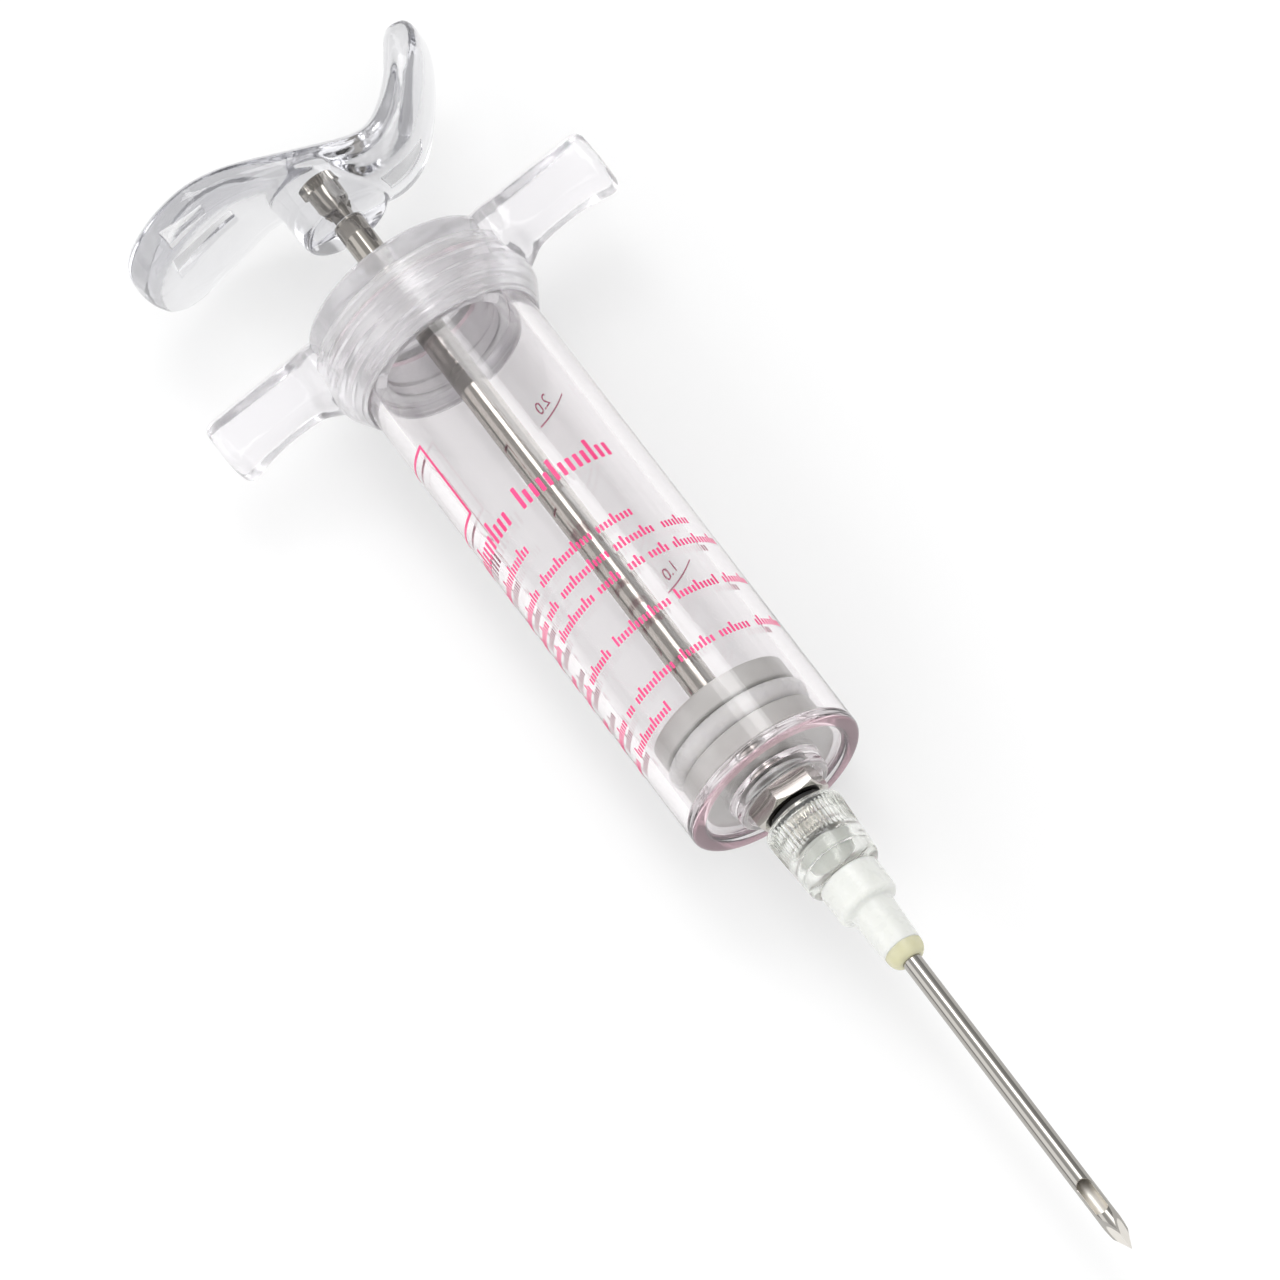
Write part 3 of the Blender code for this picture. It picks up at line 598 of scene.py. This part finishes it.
def make_tip_seal():
    inner = NOSE_RADIUS - 0.3
    outline = rounded([(HEX_FRONT + 0.3, inner, 0.1), (HEX_FRONT + 0.3, 5.65, 0.4),
                       (COLLAR_REAR - 0.3, 5.65, 0.4), (COLLAR_REAR - 0.3, inner, 0.1)])
    place("sealing_ring", lathe(outline, SMALL_SIDES), "barrel", BLACK_RUBBER, "black_rubber",
          ["tip_seal_ring"])


# ---- generic print on the barrel: a scale with numbers, and plain tick strokes ----

INK_INSIDE = BARREL_RADIUS + 0.005
INK_OUTSIDE = BARREL_RADIUS + 0.035


def on_barrel(station, turn, away):
    return (station, away * math.sin(turn), away * math.cos(turn))


def ink_band(verts, faces, station, start, end, half, corner):
    """A thin round-cornered patch round the barrel between two turns (degrees)."""
    length = math.radians(end - start) * BARREL_RADIUS
    steps = max(6, math.ceil(length / 0.5))
    share = [0.5 - 0.5 * math.cos(math.pi * index / steps) for index in range(steps + 1)]
    first = len(verts)
    for part in share:
        gap = min(part, 1 - part) * length
        inset = corner - math.sqrt(max(corner ** 2 - (corner - gap) ** 2, 0)) if gap < corner else 0.0
        turn = math.radians(start) + part * length / BARREL_RADIUS
        reach = half - inset
        corners = (-reach, INK_INSIDE), (reach, INK_INSIDE), (reach, INK_OUTSIDE), (-reach, INK_OUTSIDE)
        for side, away in corners:
            verts.append(on_barrel(station + side, turn, away))
    for index in range(steps):
        here = first + 4 * index
        for side in range(4):
            after = (side + 1) % 4
            faces.append((here + side, here + after, here + 4 + after, here + 4 + side))
    faces.append((first, first + 1, first + 2, first + 3))
    last = first + 4 * steps
    faces.append((last, last + 1, last + 2, last + 3))


MARKS = (1.0, 0.62, 0.62, 0.62, 0.62)     # heights of the strokes, as shares of the tallest


def ink_word(verts, faces, station, start, end, tall, line, gap):
    """A run of plain tick strokes, in place of a printed word."""
    foot = station + tall / 2
    place_along = math.radians(start) * BARREL_RADIUS
    stop = math.radians(end) * BARREL_RADIUS
    index = round(start)
    while True:
        height = tall * MARKS[index % len(MARKS)]
        half = line / 2
        if place_along + 2 * half > stop:
            return
        turn = math.degrees((place_along + half) / BARREL_RADIUS)
        half_turn = math.degrees(half / BARREL_RADIUS)
        ink_band(verts, faces, foot - height / 2, turn - half_turn, turn + half_turn, height / 2, half * 0.5)
        place_along += 2 * half + gap
        index += 1


def ink_number(text, station, turn, size):
    """A number of the scale, bent round the barrel with its top towards the handle."""
    curve = bpy.data.curves.new("number", "FONT")
    curve.body = text
    curve.size = size
    curve.align_x = "CENTER"
    curve.align_y = "CENTER"
    made = bpy.data.objects.new("number", curve)
    bpy.context.scene.collection.objects.link(made)
    mesh = bpy.data.meshes.new_from_object(made.evaluated_get(bpy.context.evaluated_depsgraph_get()))
    bpy.data.objects.remove(made, do_unlink=True)
    bm = bmesh.new()
    bm.from_mesh(mesh)
    bmesh.ops.remove_doubles(bm, verts=bm.verts, dist=0.001)
    extruded = bmesh.ops.extrude_face_region(bm, geom=bm.faces[:])
    top = {item for item in extruded["geom"] if isinstance(item, bmesh.types.BMVert)}
    for vert in bm.verts:
        away = INK_OUTSIDE if vert in top else INK_INSIDE
        vert.co = on_barrel(station - vert.co.y, turn + vert.co.x / BARREL_RADIUS, away)
    bmesh.ops.recalc_face_normals(bm, faces=bm.faces)
    return bm


def make_print():
    verts = []
    faces = []
    ink_word(verts, faces, -67.5, -19.8, 48.6, 4.8, 0.85, 0.75)
    ink_word(verts, faces, -67.5, -100, -26.5, 4.8, 0.85, 0.75)
    ink_word(verts, faces, -60.0, -100, -33, 2.6, 0.5, 0.42)
    rows = [
        (-53.1, ((6, 30), (-41, 2), (-95, -46))),
        (-48.3, ((41, 62), (8, 36), (-34, 4), (-53, -38), (-95, -57))),
        (-43.6, ((39, 77), (22, 35), (8, 18), (-14, 3), (-56, -18), (-95, -61))),
        (-38.7, ((-100, -72),)),
        (-33.9, ((54, 80), (20, 49), (-25, 16), (-58, -30), (-95, -62))),
        (-28.6, ((-100, -76),)),
        (-23.4, ((54, 80), (27, 49), (-1, 23), (-37, -4), (-49, -41), (-95, -53))),
        (-17.9, ((-65, -21), (-95, -70)))]
    for row, (station, words) in enumerate(rows):
        for start, end in words:
            ink_word(verts, faces, station, start, end, 2.3, 0.5, 0.36)
    for turn in (-52, -108):
        ink_band(verts, faces, -82.0, turn - 1.0, turn + 1.0, 8.6, 0.3)
    for station in (-90.3, -73.7):
        ink_band(verts, faces, station, -108, -52, 0.3, 0.28)
    for station in (-93.5, -51.7):
        ink_band(verts, faces, station + 2.6, 126, 160, 0.16, 0.15)
    print_marks = solid(verts, faces)
    for text, station in (("2.0", -93.5), ("1.0", -51.7)):
        number = ink_number(text, station, math.radians(148), 3.6)
        number_mesh = mesh_of("number", number)
        print_marks.from_mesh(number_mesh)
    place("barrel_print", print_marks, "barrel", INK)


# ---- the screw cap ----

def make_cap():
    """Disc, skirt and plug with their thread and turned lines, and two finger grips, in one moulding."""
    groove_floor = BARREL_REAR - 1.9
    skirt_front = BARREL_REAR + 11.2
    skirt_inside = BARREL_RADIUS + THREAD_ROOM
    skirt_mouth = BARREL_RADIUS + 0.35
    plug_front = BARREL_REAR + 9.4
    plug_radius = BORE_RADIUS - 0.35
    plug_inside = plug_radius - 2.6
    rod_hole = ROD_RADIUS + 0.3
    step = -118.0
    shoulder = -110.2

    def relief(station, away, turn):
        if step + 1 < station < shoulder + 1.5 and away > RING_RADIUS - 1.5:
            return away - 0.022 * (0.5 - 0.5 * math.cos(FULL_TURN * station / 0.85))
        if groove_floor + 0.5 < station < skirt_front - 1.0 and abs(away - skirt_inside) < 0.05:
            height = (THREAD_HEIGHT - 0.05) * ridge(station, turn, THREAD_PITCH, 0.5)
            return away - height * fade(station, groove_floor + 1.2, skirt_front - 2.0, 1.5)
        if groove_floor + 0.5 < station < plug_front - 0.6 and abs(away - plug_radius) < 0.05:
            return away - 0.07 * (0.5 - 0.5 * math.cos(FULL_TURN * station / 1.5)) ** 2
        return away

    outline = rounded([
        (CAP_REAR, rod_hole, 0.3), (CAP_REAR, 20.0, 1.2), (step, 20.0, 0.4),
        (step, RING_RADIUS, 0.8), (shoulder, RING_RADIUS, 4.0),
        (skirt_front, BARREL_RADIUS + 0.9, 0.25), (skirt_front, skirt_mouth, 0.15),
        (skirt_front - 0.9, skirt_mouth, 0.1), (skirt_front - 1.2, skirt_inside, 0.1),
        (groove_floor, skirt_inside, 0.3), (groove_floor, plug_radius, 0.3),
        (plug_front, plug_radius, 0.5), (plug_front, plug_inside, 0.5),
        (groove_floor, plug_inside, 1.0), (groove_floor, rod_hole + 2.2, 0.6),
        (groove_floor + 3.0, rod_hole + 2.2, 0.5), (groove_floor + 3.0, rod_hole, 0.3)])
    outline = finer(outline, groove_floor + 0.4, skirt_front - 1.2, 0.16)
    cap = scratch("cap", lathe(outline, SIDES, relief=relief))
    room = [(groove_floor + 0.02, 0), (groove_floor + 0.02, skirt_inside + 0.6),
            (skirt_front + 3, skirt_inside + 0.6), (skirt_front + 3, 0)]
    for side in (1, -1):
        grip = scratch("grip", loft(grip_sections(side)))
        boolean(grip, lathe(room, SIDES, closed=False), "DIFFERENCE")
        boolean(cap, take(grip), "UNION")
    place("grip_cap_clear", take(cap), "cap", CAP_CLEAR, "clear_violet", ["grip_cap"], sharp=30)


def grip_sections(side):
    """Rings across one finger grip: from inside the cap's ring out to its rounded end."""
    roll = math.radians(3.0)
    half_depth = 6.4
    stations = [
        (15.0, -110.8, 1.0), (19.5, -111.0, 1.0), (22.5, -112.3, 1.0), (25.5, -113.8, 1.0),
        (30.0, -114.3, 1.0), (35.0, -114.2, 1.0), (39.0, -113.5, 1.0), (41.6, -112.9, 1.0),
        (43.0, -112.9, 0.93), (GRIP_SPAN - 0.25, -113.2, 0.76)]
    sections = []
    out = Vector((0.0, side * math.cos(roll), side * math.sin(roll)))
    up = Vector((0.0, -math.sin(roll), math.cos(roll)))
    for distance, front, share in catmull_rom(stations, 6):
        middle = Vector(((front + GRIP_REAR) / 2, 0.0, 0.0)) + out * distance
        half = (front - GRIP_REAR) / 2 * share
        root = 1.0 + 0.16 * math.exp(-((distance - 20.5) / 2.2) ** 2)
        sections.append([middle + Vector((a, 0.0, 0.0)) + up * b
                         for a, b in superellipse(half, half_depth * share * root, 3.2, 56)])
    inner = Vector((-118.5, 0.0, 0.0)) + out * stations[0][0]
    outer = Vector(((stations[-1][1] + GRIP_REAR) / 2, 0.0, 0.0)) + out * (GRIP_SPAN - 0.02)
    return [[inner]] + sections + [[outer]]


def make_cap_gasket():
    rear, front = ends("cap_gasket")
    outline = rounded([(rear, BORE_RADIUS, 0.3), (rear, BARREL_RADIUS, 0.3),
                       (front, BARREL_RADIUS, 0.3), (front, BORE_RADIUS, 0.3)])
    place("cap_seal", lathe(outline, SIDES), "cap_gasket", CLEAR_RUBBER, "clear_rubber", ["cap_gasket"])


# ---- the piston and the plunger ----

def make_piston():
    hole = 2.2
    rear_front = ends("piston_rear_plate")[1]
    front_rear = ends("piston_front_plate")[0]
    rear = rounded([
        (PISTON_REAR, hole, 0), (PISTON_REAR, 6.5, 0.3), (PISTON_REAR + 0.5, 7.0, 0.3),
        (PISTON_REAR + 0.5, 12.2, 0.3), (PISTON_REAR, 12.7, 0.3), (PISTON_REAR, PISTON_RADIUS, 0.5),
        (rear_front, PISTON_RADIUS, 0.5), (rear_front, hole, 0)])
    place("piston_rear_disc", lathe(rear, SIDES), "piston", PISTON_GREY, "piston_grey", ["piston_rear_plate"])
    pocket = PISTON_FRONT - 3.0
    front = rounded([
        (front_rear, hole, 0), (front_rear, PISTON_RADIUS, 0.5), (PISTON_FRONT, PISTON_RADIUS, 0.5),
        (PISTON_FRONT, 4.5, 0.3), (pocket, 4.5, 0.2), (pocket, hole, 0)])
    place("piston_front_disc", lathe(front, SIDES), "piston", PISTON_GREY, "piston_grey",
          ["piston_front_plate"])
    spool_rear, spool_front = ends("piston_spool")
    spool = rounded([(spool_rear, hole, 0), (spool_rear, radius("piston_spool"), 0.2),
                     (spool_front, radius("piston_spool"), 0.2), (spool_front, hole, 0)])
    place("piston_core", lathe(spool, SMALL_SIDES), "piston", PISTON_GREY, "piston_grey", ["piston_spool"])
    ring_rear, ring_front = ends("piston_oring")
    section = (ring_front - ring_rear) / 2
    middle = (ring_front + ring_rear) / 2
    reach = radius("piston_oring") - section
    points = 32
    circle = [(middle + section * math.cos(FULL_TURN * index / points),
               reach + section * math.sin(FULL_TURN * index / points)) for index in range(points)]
    place("piston_seal", lathe(circle, SIDES), "piston", CLEAR_RUBBER, "clear_rubber", ["piston_oring"])


def make_piston_nut():
    rear, front = ends("piston_nut")
    flats = 7.0
    corner = flats / 2 / math.cos(math.pi / 6)

    def relief(station, away, turn):
        if away < flats / 2 - 0.2:
            return away
        turned = flats / 2 + min(station - rear, front - station) * 1.7
        return min(hexagon(flats, turn), turned, away)

    outline = finer(rounded([(rear, 2.15, 0.1), (rear, corner, 0), (front, corner, 0), (front, 2.15, 0.1)]),
                    rear, front, 0.15)
    place("rod_nut", lathe(outline, 96, relief=relief), "plunger", FITTING_METAL, "fitting_metal",
          ["piston_nut"], sharp=28)


def make_plunger_rod():
    """Polished rod with a threaded stud in front and a straight-knurled head in the handle."""
    stud_front = ends("plunger_rod")[1]
    knurl_front = ROD_REAR + 2.4
    knurl_radius = 2.45
    neck_radius = 2.05

    def relief(station, away, turn):
        if station < knurl_front + 0.02 and away > neck_radius + 0.1:
            return away - 0.24 * (0.5 - 0.5 * math.cos(30 * turn))
        if station > -17.0 and away > 1.7:
            return away - 0.2 * ridge(station, turn, 0.8) * fade(station, -16.5, stud_front - 0.4, 0.5)
        return away

    outline = rounded([
        (stud_front, 0, 0), (stud_front, 1.9, 0.3), (-17.8, 1.9, 0), (-17.8, ROD_RADIUS, 0.3),
        (BOSS_END - 0.45, ROD_RADIUS, 0.25), (BOSS_END - 0.45, neck_radius, 0.15),
        (knurl_front, neck_radius, 0.1), (knurl_front, knurl_radius, 0.15),
        (ROD_REAR, knurl_radius, 0.15), (ROD_REAR, 0, 0)])
    outline = finer(outline, -16.8, stud_front, 0.1)
    place("polished_rod", lathe(outline, 180, closed=False, relief=relief), "plunger", ROD_STEEL, "rod_steel",
          ["plunger_rod"], sharp=30)


def handle_sections():
    """Rings along the palm strip: a broad paddle on the -Y side that waves over into a hook on +Y."""
    rows = [                                   # y, station, half thickness, half width
        (-37.7, -153.9, 1.9, 4.4), (-36.5, -154.2, 3.5, 8.2), (-34.0, -154.7, 4.3, 11.6),
        (-30.0, -155.5, 4.4, 14.2), (-25.0, -156.6, 4.3, 15.2), (-19.5, -157.2, 4.0, 15.2),
        (-14.0, -157.1, 3.7, 13.4), (-9.0, -156.0, 3.6, 11.4), (-4.0, -154.1, 3.7, 9.8),
        (1.0, -151.6, 4.1, 9.0), (5.0, -149.0, 4.8, 9.0), (9.0, -146.8, 5.4, 9.0),
        (12.8, -146.3, 5.4, 8.8), (16.5, -147.7, 5.0, 8.6), (20.6, -151.0, 4.3, 8.5),
        (24.3, -155.3, 3.9, 8.4), (27.0, -159.5, 3.7, 7.9), (28.4, -162.6, 3.4, 6.8),
        (29.0, -165.0, 2.4, 4.9)]
    line = catmull_rom(rows, 5)
    sections = []
    for index, (y, station, thick, wide) in enumerate(line):
        before = line[max(index - 1, 0)]
        after = line[min(index + 1, len(line) - 1)]
        along = Vector((after[1] - before[1], after[0] - before[0], 0.0)).normalized()
        across = Vector((along.y, -along.x, 0.0))
        middle = Vector((station, y, 0.0))
        sections.append([middle + across * a + Vector((0.0, 0.0, b))
                         for a, b in superellipse(thick, wide, 3.2, 64)])
    first = Vector((rows[0][1], rows[0][0] - 0.4, 0.0))
    last = Vector((HANDLE_REAR, rows[-1][0] + 0.1, 0.0))
    return [[first]] + sections + [[last]]


def handle_boss():
    """Boss round the rod, its rear end slanted to lie inside the palm strip."""
    rings = []
    sides = 96
    profile = [                                # station on the axis, slant of the ring, radius
        (BOSS_END, 0.0, 7.6), (BOSS_END - 0.1, 0.0, 8.2), (BOSS_END - 0.4, 0.0, 8.7),
        (BOSS_END - 0.9, 0.0, 9.0), (-146.0, 0.2, 9.3), (-150.6, 0.48, 9.8)]
    for station, slant, away in profile:
        ring = []
        for index in range(sides):
            turn = FULL_TURN * index / sides
            y = away * math.cos(turn)
            ring.append(Vector((station + slant * y, y, away * math.sin(turn))))
        rings.append(ring)
    return loft([[Vector((BOSS_END, 0.0, 0.0))]] + rings + [[Vector((-150.6, 0.0, 0.0))]])


def make_handle():
    """Clear palm handle, moulded round the rod's knurled end, with cores in its front face."""
    handle = scratch("handle", loft(handle_sections()))
    boolean(handle, handle_boss(), "UNION")
    remesh = handle.modifiers.new("one_skin", "REMESH")
    remesh.mode = "VOXEL"
    remesh.voxel_size = 0.42
    remesh.use_smooth_shade = True
    smooth = handle.modifiers.new("soft_joints", "SMOOTH")
    smooth.factor = 0.5
    smooth.iterations = 14
    settle(handle)
    boolean(handle, lathe(rounded([
        (BOSS_END + 2, 0, 0), (BOSS_END + 2, ROD_RADIUS + 0.35, 0), (BOSS_END - 0.45, ROD_RADIUS + 0.35, 0.1),
        (BOSS_END - 0.45, 0, 0)]), SMALL_SIDES, closed=False), "DIFFERENCE")
    cores = (                                  # middle z, half width, low y, high y, floor station
        (12.1, 0.55, -28.5, -19.4, -155.8), (3.6, 1.7, -30.3, -15.6, -156.0), (0.0, 0.55, 10.2, 19.0, -146.2))
    for z, half, start, end, floor in cores:
        boolean(handle, block((floor, start, z - half), (floor + 9.0, end, z + half), 0.25), "DIFFERENCE")
    place("palm_handle_clear", take(handle), "plunger", HANDLE_CLEAR, "clear_handle", ["palm_handle"],
          sharp=40)


# ---- the needle and its locking collar ----

def make_luer_collar():
    ribs = 48
    rib_rear = COLLAR_REAR + 0.8
    rib_front = COLLAR_REAR + 7.6
    inside = NOSE_RADIUS + 0.3

    def relief(station, away, turn):
        if away > 6.8 and rib_rear < station < rib_front:
            height = (0.5 + 0.5 * math.cos(ribs * turn)) ** 2
            return away - 0.4 * (1 - height) * fade(station, rib_rear, rib_front, 1.2)
        if abs(away - inside) < 0.05 and COLLAR_REAR + 0.8 < station < 17.5:
            return away + 0.25 * ridge(station, turn, THREAD_PITCH)
        return away

    outline = rounded([
        (COLLAR_REAR, inside, 0.2), (COLLAR_REAR, COLLAR_RADIUS, 0.6),
        (COLLAR_FRONT, 7.2, 1.4), (COLLAR_FRONT, 4.6, 0.3),
        (18.3, 4.6, 0.1), (18.3, inside, 0.3)])
    outline = finer(outline, rib_rear, 17.6, 0.2)
    place("locking_collar", lathe(outline, 192, relief=relief), "luer_collar", COLLAR_CLEAR, "clear_collar",
          ["luer_collar"], sharp=30)


def make_needle_hub():
    neck = 4.3
    step = 29.3
    bore = NEEDLE_RADIUS + 0.02
    outline = rounded([
        (HUB_REAR, 2.5, 0.2), (HUB_REAR, NOSE_RADIUS, 0.2), (18.0, NOSE_RADIUS, 0.2),
        (18.0, neck, 0.2), (COLLAR_FRONT + 0.3, neck, 0.1), (COLLAR_FRONT + 0.3, 6.0, 0.4),
        (step, 5.9, 1.0), (step + 0.5, 4.2, 0.8), (HUB_FRONT, 3.8, 0.35), (HUB_FRONT, bore, 0),
        (21.9, bore, 0), (21.3, 2.3, 0)])
    place("white_hub", lathe(outline, SMALL_SIDES), "needle", HUB_WHITE, "white_plastic", ["needle_hub"])


def make_epoxy_bead():
    bore = NEEDLE_RADIUS + 0.01
    rear = HUB_FRONT + 0.02
    reach = 3.7
    steps = 14
    outline = [(rear, bore), (rear, reach + 0.02)]
    for step in range(1, steps + 1):
        turn = math.pi / 2 * step / steps
        outline.append((rear + (BEAD_FRONT - rear) * math.sin(turn) ** 0.9,
                        bore + 0.02 + (reach - bore) * math.cos(turn)))

    def relief(station, away, turn):
        if away < bore + 0.05:
            return away
        return away + 0.06 * math.sin(3 * turn + 1.0) + 0.04 * math.sin(5 * turn)

    place("adhesive_bead", lathe(outline, SMALL_SIDES, relief=relief), "needle", EPOXY, "epoxy",
          ["epoxy_bead"])


def make_cannula():
    """Steel tube with a closed three-faced point and a side port behind it."""
    shoulder = 102.6
    port_rear = 94.8
    port_front = 102.4
    half = 1.5
    solid_from = port_front + 0.2
    outline = rounded([(NEEDLE_REAR, NEEDLE_BORE, 0.1), (NEEDLE_REAR, NEEDLE_RADIUS, 0.1),
                       (NEEDLE_TIP + 3, NEEDLE_RADIUS, 0), (NEEDLE_TIP + 3, 0.0, 0), (solid_from, 0.0, 0),
                       (solid_from, NEEDLE_BORE, 0)])
    bm = lathe(outline, SMALL_SIDES)
    slope = math.atan2(NEEDLE_RADIUS, NEEDLE_TIP - shoulder)
    for index in range(3):
        roll = math.radians(30 + 120 * index)
        normal = Vector((math.sin(slope), math.cos(slope) * math.cos(roll), math.cos(slope) * math.sin(roll)))
        cut = bmesh.ops.bisect_plane(bm, geom=bm.verts[:] + bm.edges[:] + bm.faces[:], dist=0.0001,
                                     plane_co=(NEEDLE_TIP, 0, 0), plane_no=normal, clear_outer=True)
        rim = [item for item in cut["geom_cut"] if isinstance(item, bmesh.types.BMEdge)]
        bmesh.ops.holes_fill(bm, edges=rim, sides=0)
    bmesh.ops.remove_doubles(bm, verts=bm.verts, dist=0.0005)
    bmesh.ops.recalc_face_normals(bm, faces=bm.faces)
    needle = scratch("needle", bm)
    sides = 48
    rings = []
    for height in (0.35, 4.0):
        ring = []
        for index in range(sides):
            turn = FULL_TURN * (index + 0.5) / sides
            end = port_front - half if math.cos(turn) > 0 else port_rear + half
            ring.append(Vector((end + half * math.cos(turn), half * math.sin(turn), height)))
        rings.append(ring)
    middle = (port_front + port_rear) / 2
    cutter = loft([[Vector((middle, 0.0, 0.35))]] + rings + [[Vector((middle, 0.0, 4.0))]])
    boolean(needle, cutter, "DIFFERENCE")
    place("needle_tube", take(needle), "needle", NEEDLE_STEEL, "needle_steel", ["needle_cannula"], sharp=25)


# ---- floor, light and camera ----

def make_floor():
    bm = bmesh.new()
    bmesh.ops.create_grid(bm, x_segments=8, y_segments=8, size=1.5)
    floor = bpy.data.objects.new("studio_floor", mesh_of("studio_floor", bm))
    bpy.context.scene.collection.objects.link(floor)
    made, tree, shader = start_material("floor_white")
    tree.links.new(shades(tree, noise(tree, 3, 2.0), (0.47, 0.47, 0.47), (0.49, 0.49, 0.49)),
                   shader.inputs["Base Color"])
    tree.links.new(spread(tree, noise(tree, 20, 2.0), 0.75, 0.9), shader.inputs["Roughness"])
    shader.inputs["Specular IOR Level"].default_value = 0.1
    shader.inputs["Emission Color"].default_value = (1.0, 1.0, 1.0, 1.0)
    shader.inputs["Emission Strength"].default_value = 0.45
    floor.data.materials.append(made)


STUDIO_LEVEL = 1.2


def make_world():
    """A white studio hung with long panels that run parallel to the tool, bright and dark by turns."""
    world = bpy.data.worlds.new("studio")
    bpy.context.scene.world = world
    world.use_nodes = True
    tree = world.node_tree
    coordinates = tree.nodes.new("ShaderNodeTexCoord")
    split = tree.nodes.new("ShaderNodeSeparateXYZ")
    tilt = tree.nodes.new("ShaderNodeMath")
    tilt.operation = "ARCTAN2"
    share = tree.nodes.new("ShaderNodeMapRange")
    share.inputs["From Min"].default_value = -math.pi / 2
    share.inputs["From Max"].default_value = math.pi / 2
    ramp = tree.nodes.new("ShaderNodeValToRGB")
    brightest = 2.2
    panels = (                                 # degrees from overhead towards +Y, brightness
        (-90, 0.4), (-78, 0.45), (-68, 1.35), (-38, 1.35), (-28, 0.6), (-8, 0.6), (8, 0.85), (10, 2.2),
        (20, 2.2), (22, 0.9), (42, 0.8), (52, 0.4), (90, 0.4))
    while len(ramp.color_ramp.elements) < len(panels):
        ramp.color_ramp.elements.new(0.5)
    for element, (angle, level) in zip(ramp.color_ramp.elements, panels):
        element.position = (angle + 90) / 180
        element.color = (level / brightest, level / brightest, level / brightest, 1.0)
    tree.links.new(coordinates.outputs["Generated"], split.inputs["Vector"])
    tree.links.new(split.outputs["Y"], tilt.inputs[0])
    tree.links.new(split.outputs["Z"], tilt.inputs[1])
    tree.links.new(tilt.outputs["Value"], share.inputs["Value"])
    tree.links.new(share.outputs["Result"], ramp.inputs["Fac"])
    tree.links.new(ramp.outputs["Color"], tree.nodes["Background"].inputs["Color"])
    tree.nodes["Background"].inputs["Strength"].default_value = brightest * STUDIO_LEVEL


def make_light(name, direction, distance, width, height, power):
    """A soft rectangular lamp that shines at the middle of the tool."""
    light = bpy.data.lights.new(name, "AREA")
    light.shape = "RECTANGLE"
    light.size = width
    light.size_y = height
    light.energy = power
    lamp = bpy.data.objects.new(name, light)
    aim = Vector(direction).normalized()
    lamp.location = Vector((0.0, 0.0, AXIS_Z)) + aim * distance
    lamp.rotation_euler = aim.to_track_quat("Z", "Y").to_euler()
    bpy.context.scene.collection.objects.link(lamp)


def make_camera():
    """Seen from above and in front of the needle, the tool lying from upper left to lower right."""
    lean = math.radians(24.0)                  # from straight above towards the needle
    screen_turn = math.radians(52.66)          # the axis runs this far below the picture's horizontal
    distance = 2.0
    view_width = 0.2294
    back = Vector((math.sin(lean), 0.0, math.cos(lean)))
    along = Vector((math.cos(lean), 0.0, -math.sin(lean)))
    across = Vector((0.0, 1.0, 0.0))
    right = along * math.cos(screen_turn) + across * math.sin(screen_turn)
    up = across * math.cos(screen_turn) - along * math.sin(screen_turn)
    lens = bpy.data.cameras.new("camera")
    lens.sensor_width = 36.0
    lens.lens = lens.sensor_width * distance / view_width
    lens.clip_end = 20.0
    camera = bpy.data.objects.new("camera", lens)
    target = Vector((RIM_X - 0.0386, -0.0038, AXIS_Z))
    turned = Matrix((right, up, back)).transposed().to_4x4()
    camera.matrix_world = Matrix.Translation(target + back * distance) @ turned
    bpy.context.scene.collection.objects.link(camera)
    bpy.context.scene.camera = camera


def set_render_looks():
    scene = bpy.context.scene
    scene.view_settings.view_transform = "Standard"
    scene.cycles.max_bounces = 40
    scene.cycles.transmission_bounces = 32
    scene.cycles.glossy_bounces = 32
    scene.cycles.diffuse_bounces = 4
    scene.cycles.transparent_max_bounces = 16


make_camera()
make_barrel()
make_fitting_gasket()
make_luer_fitting()
make_tip_seal()
make_print()
make_cap()
make_cap_gasket()
make_piston()
make_piston_nut()
make_plunger_rod()
make_handle()
make_luer_collar()
make_needle_hub()
make_epoxy_bead()
make_cannula()
make_floor()
make_world()
make_light("key", (-0.407, 0.312, 0.858), 1.2, 0.8, 0.3, 2.5)
set_render_looks()
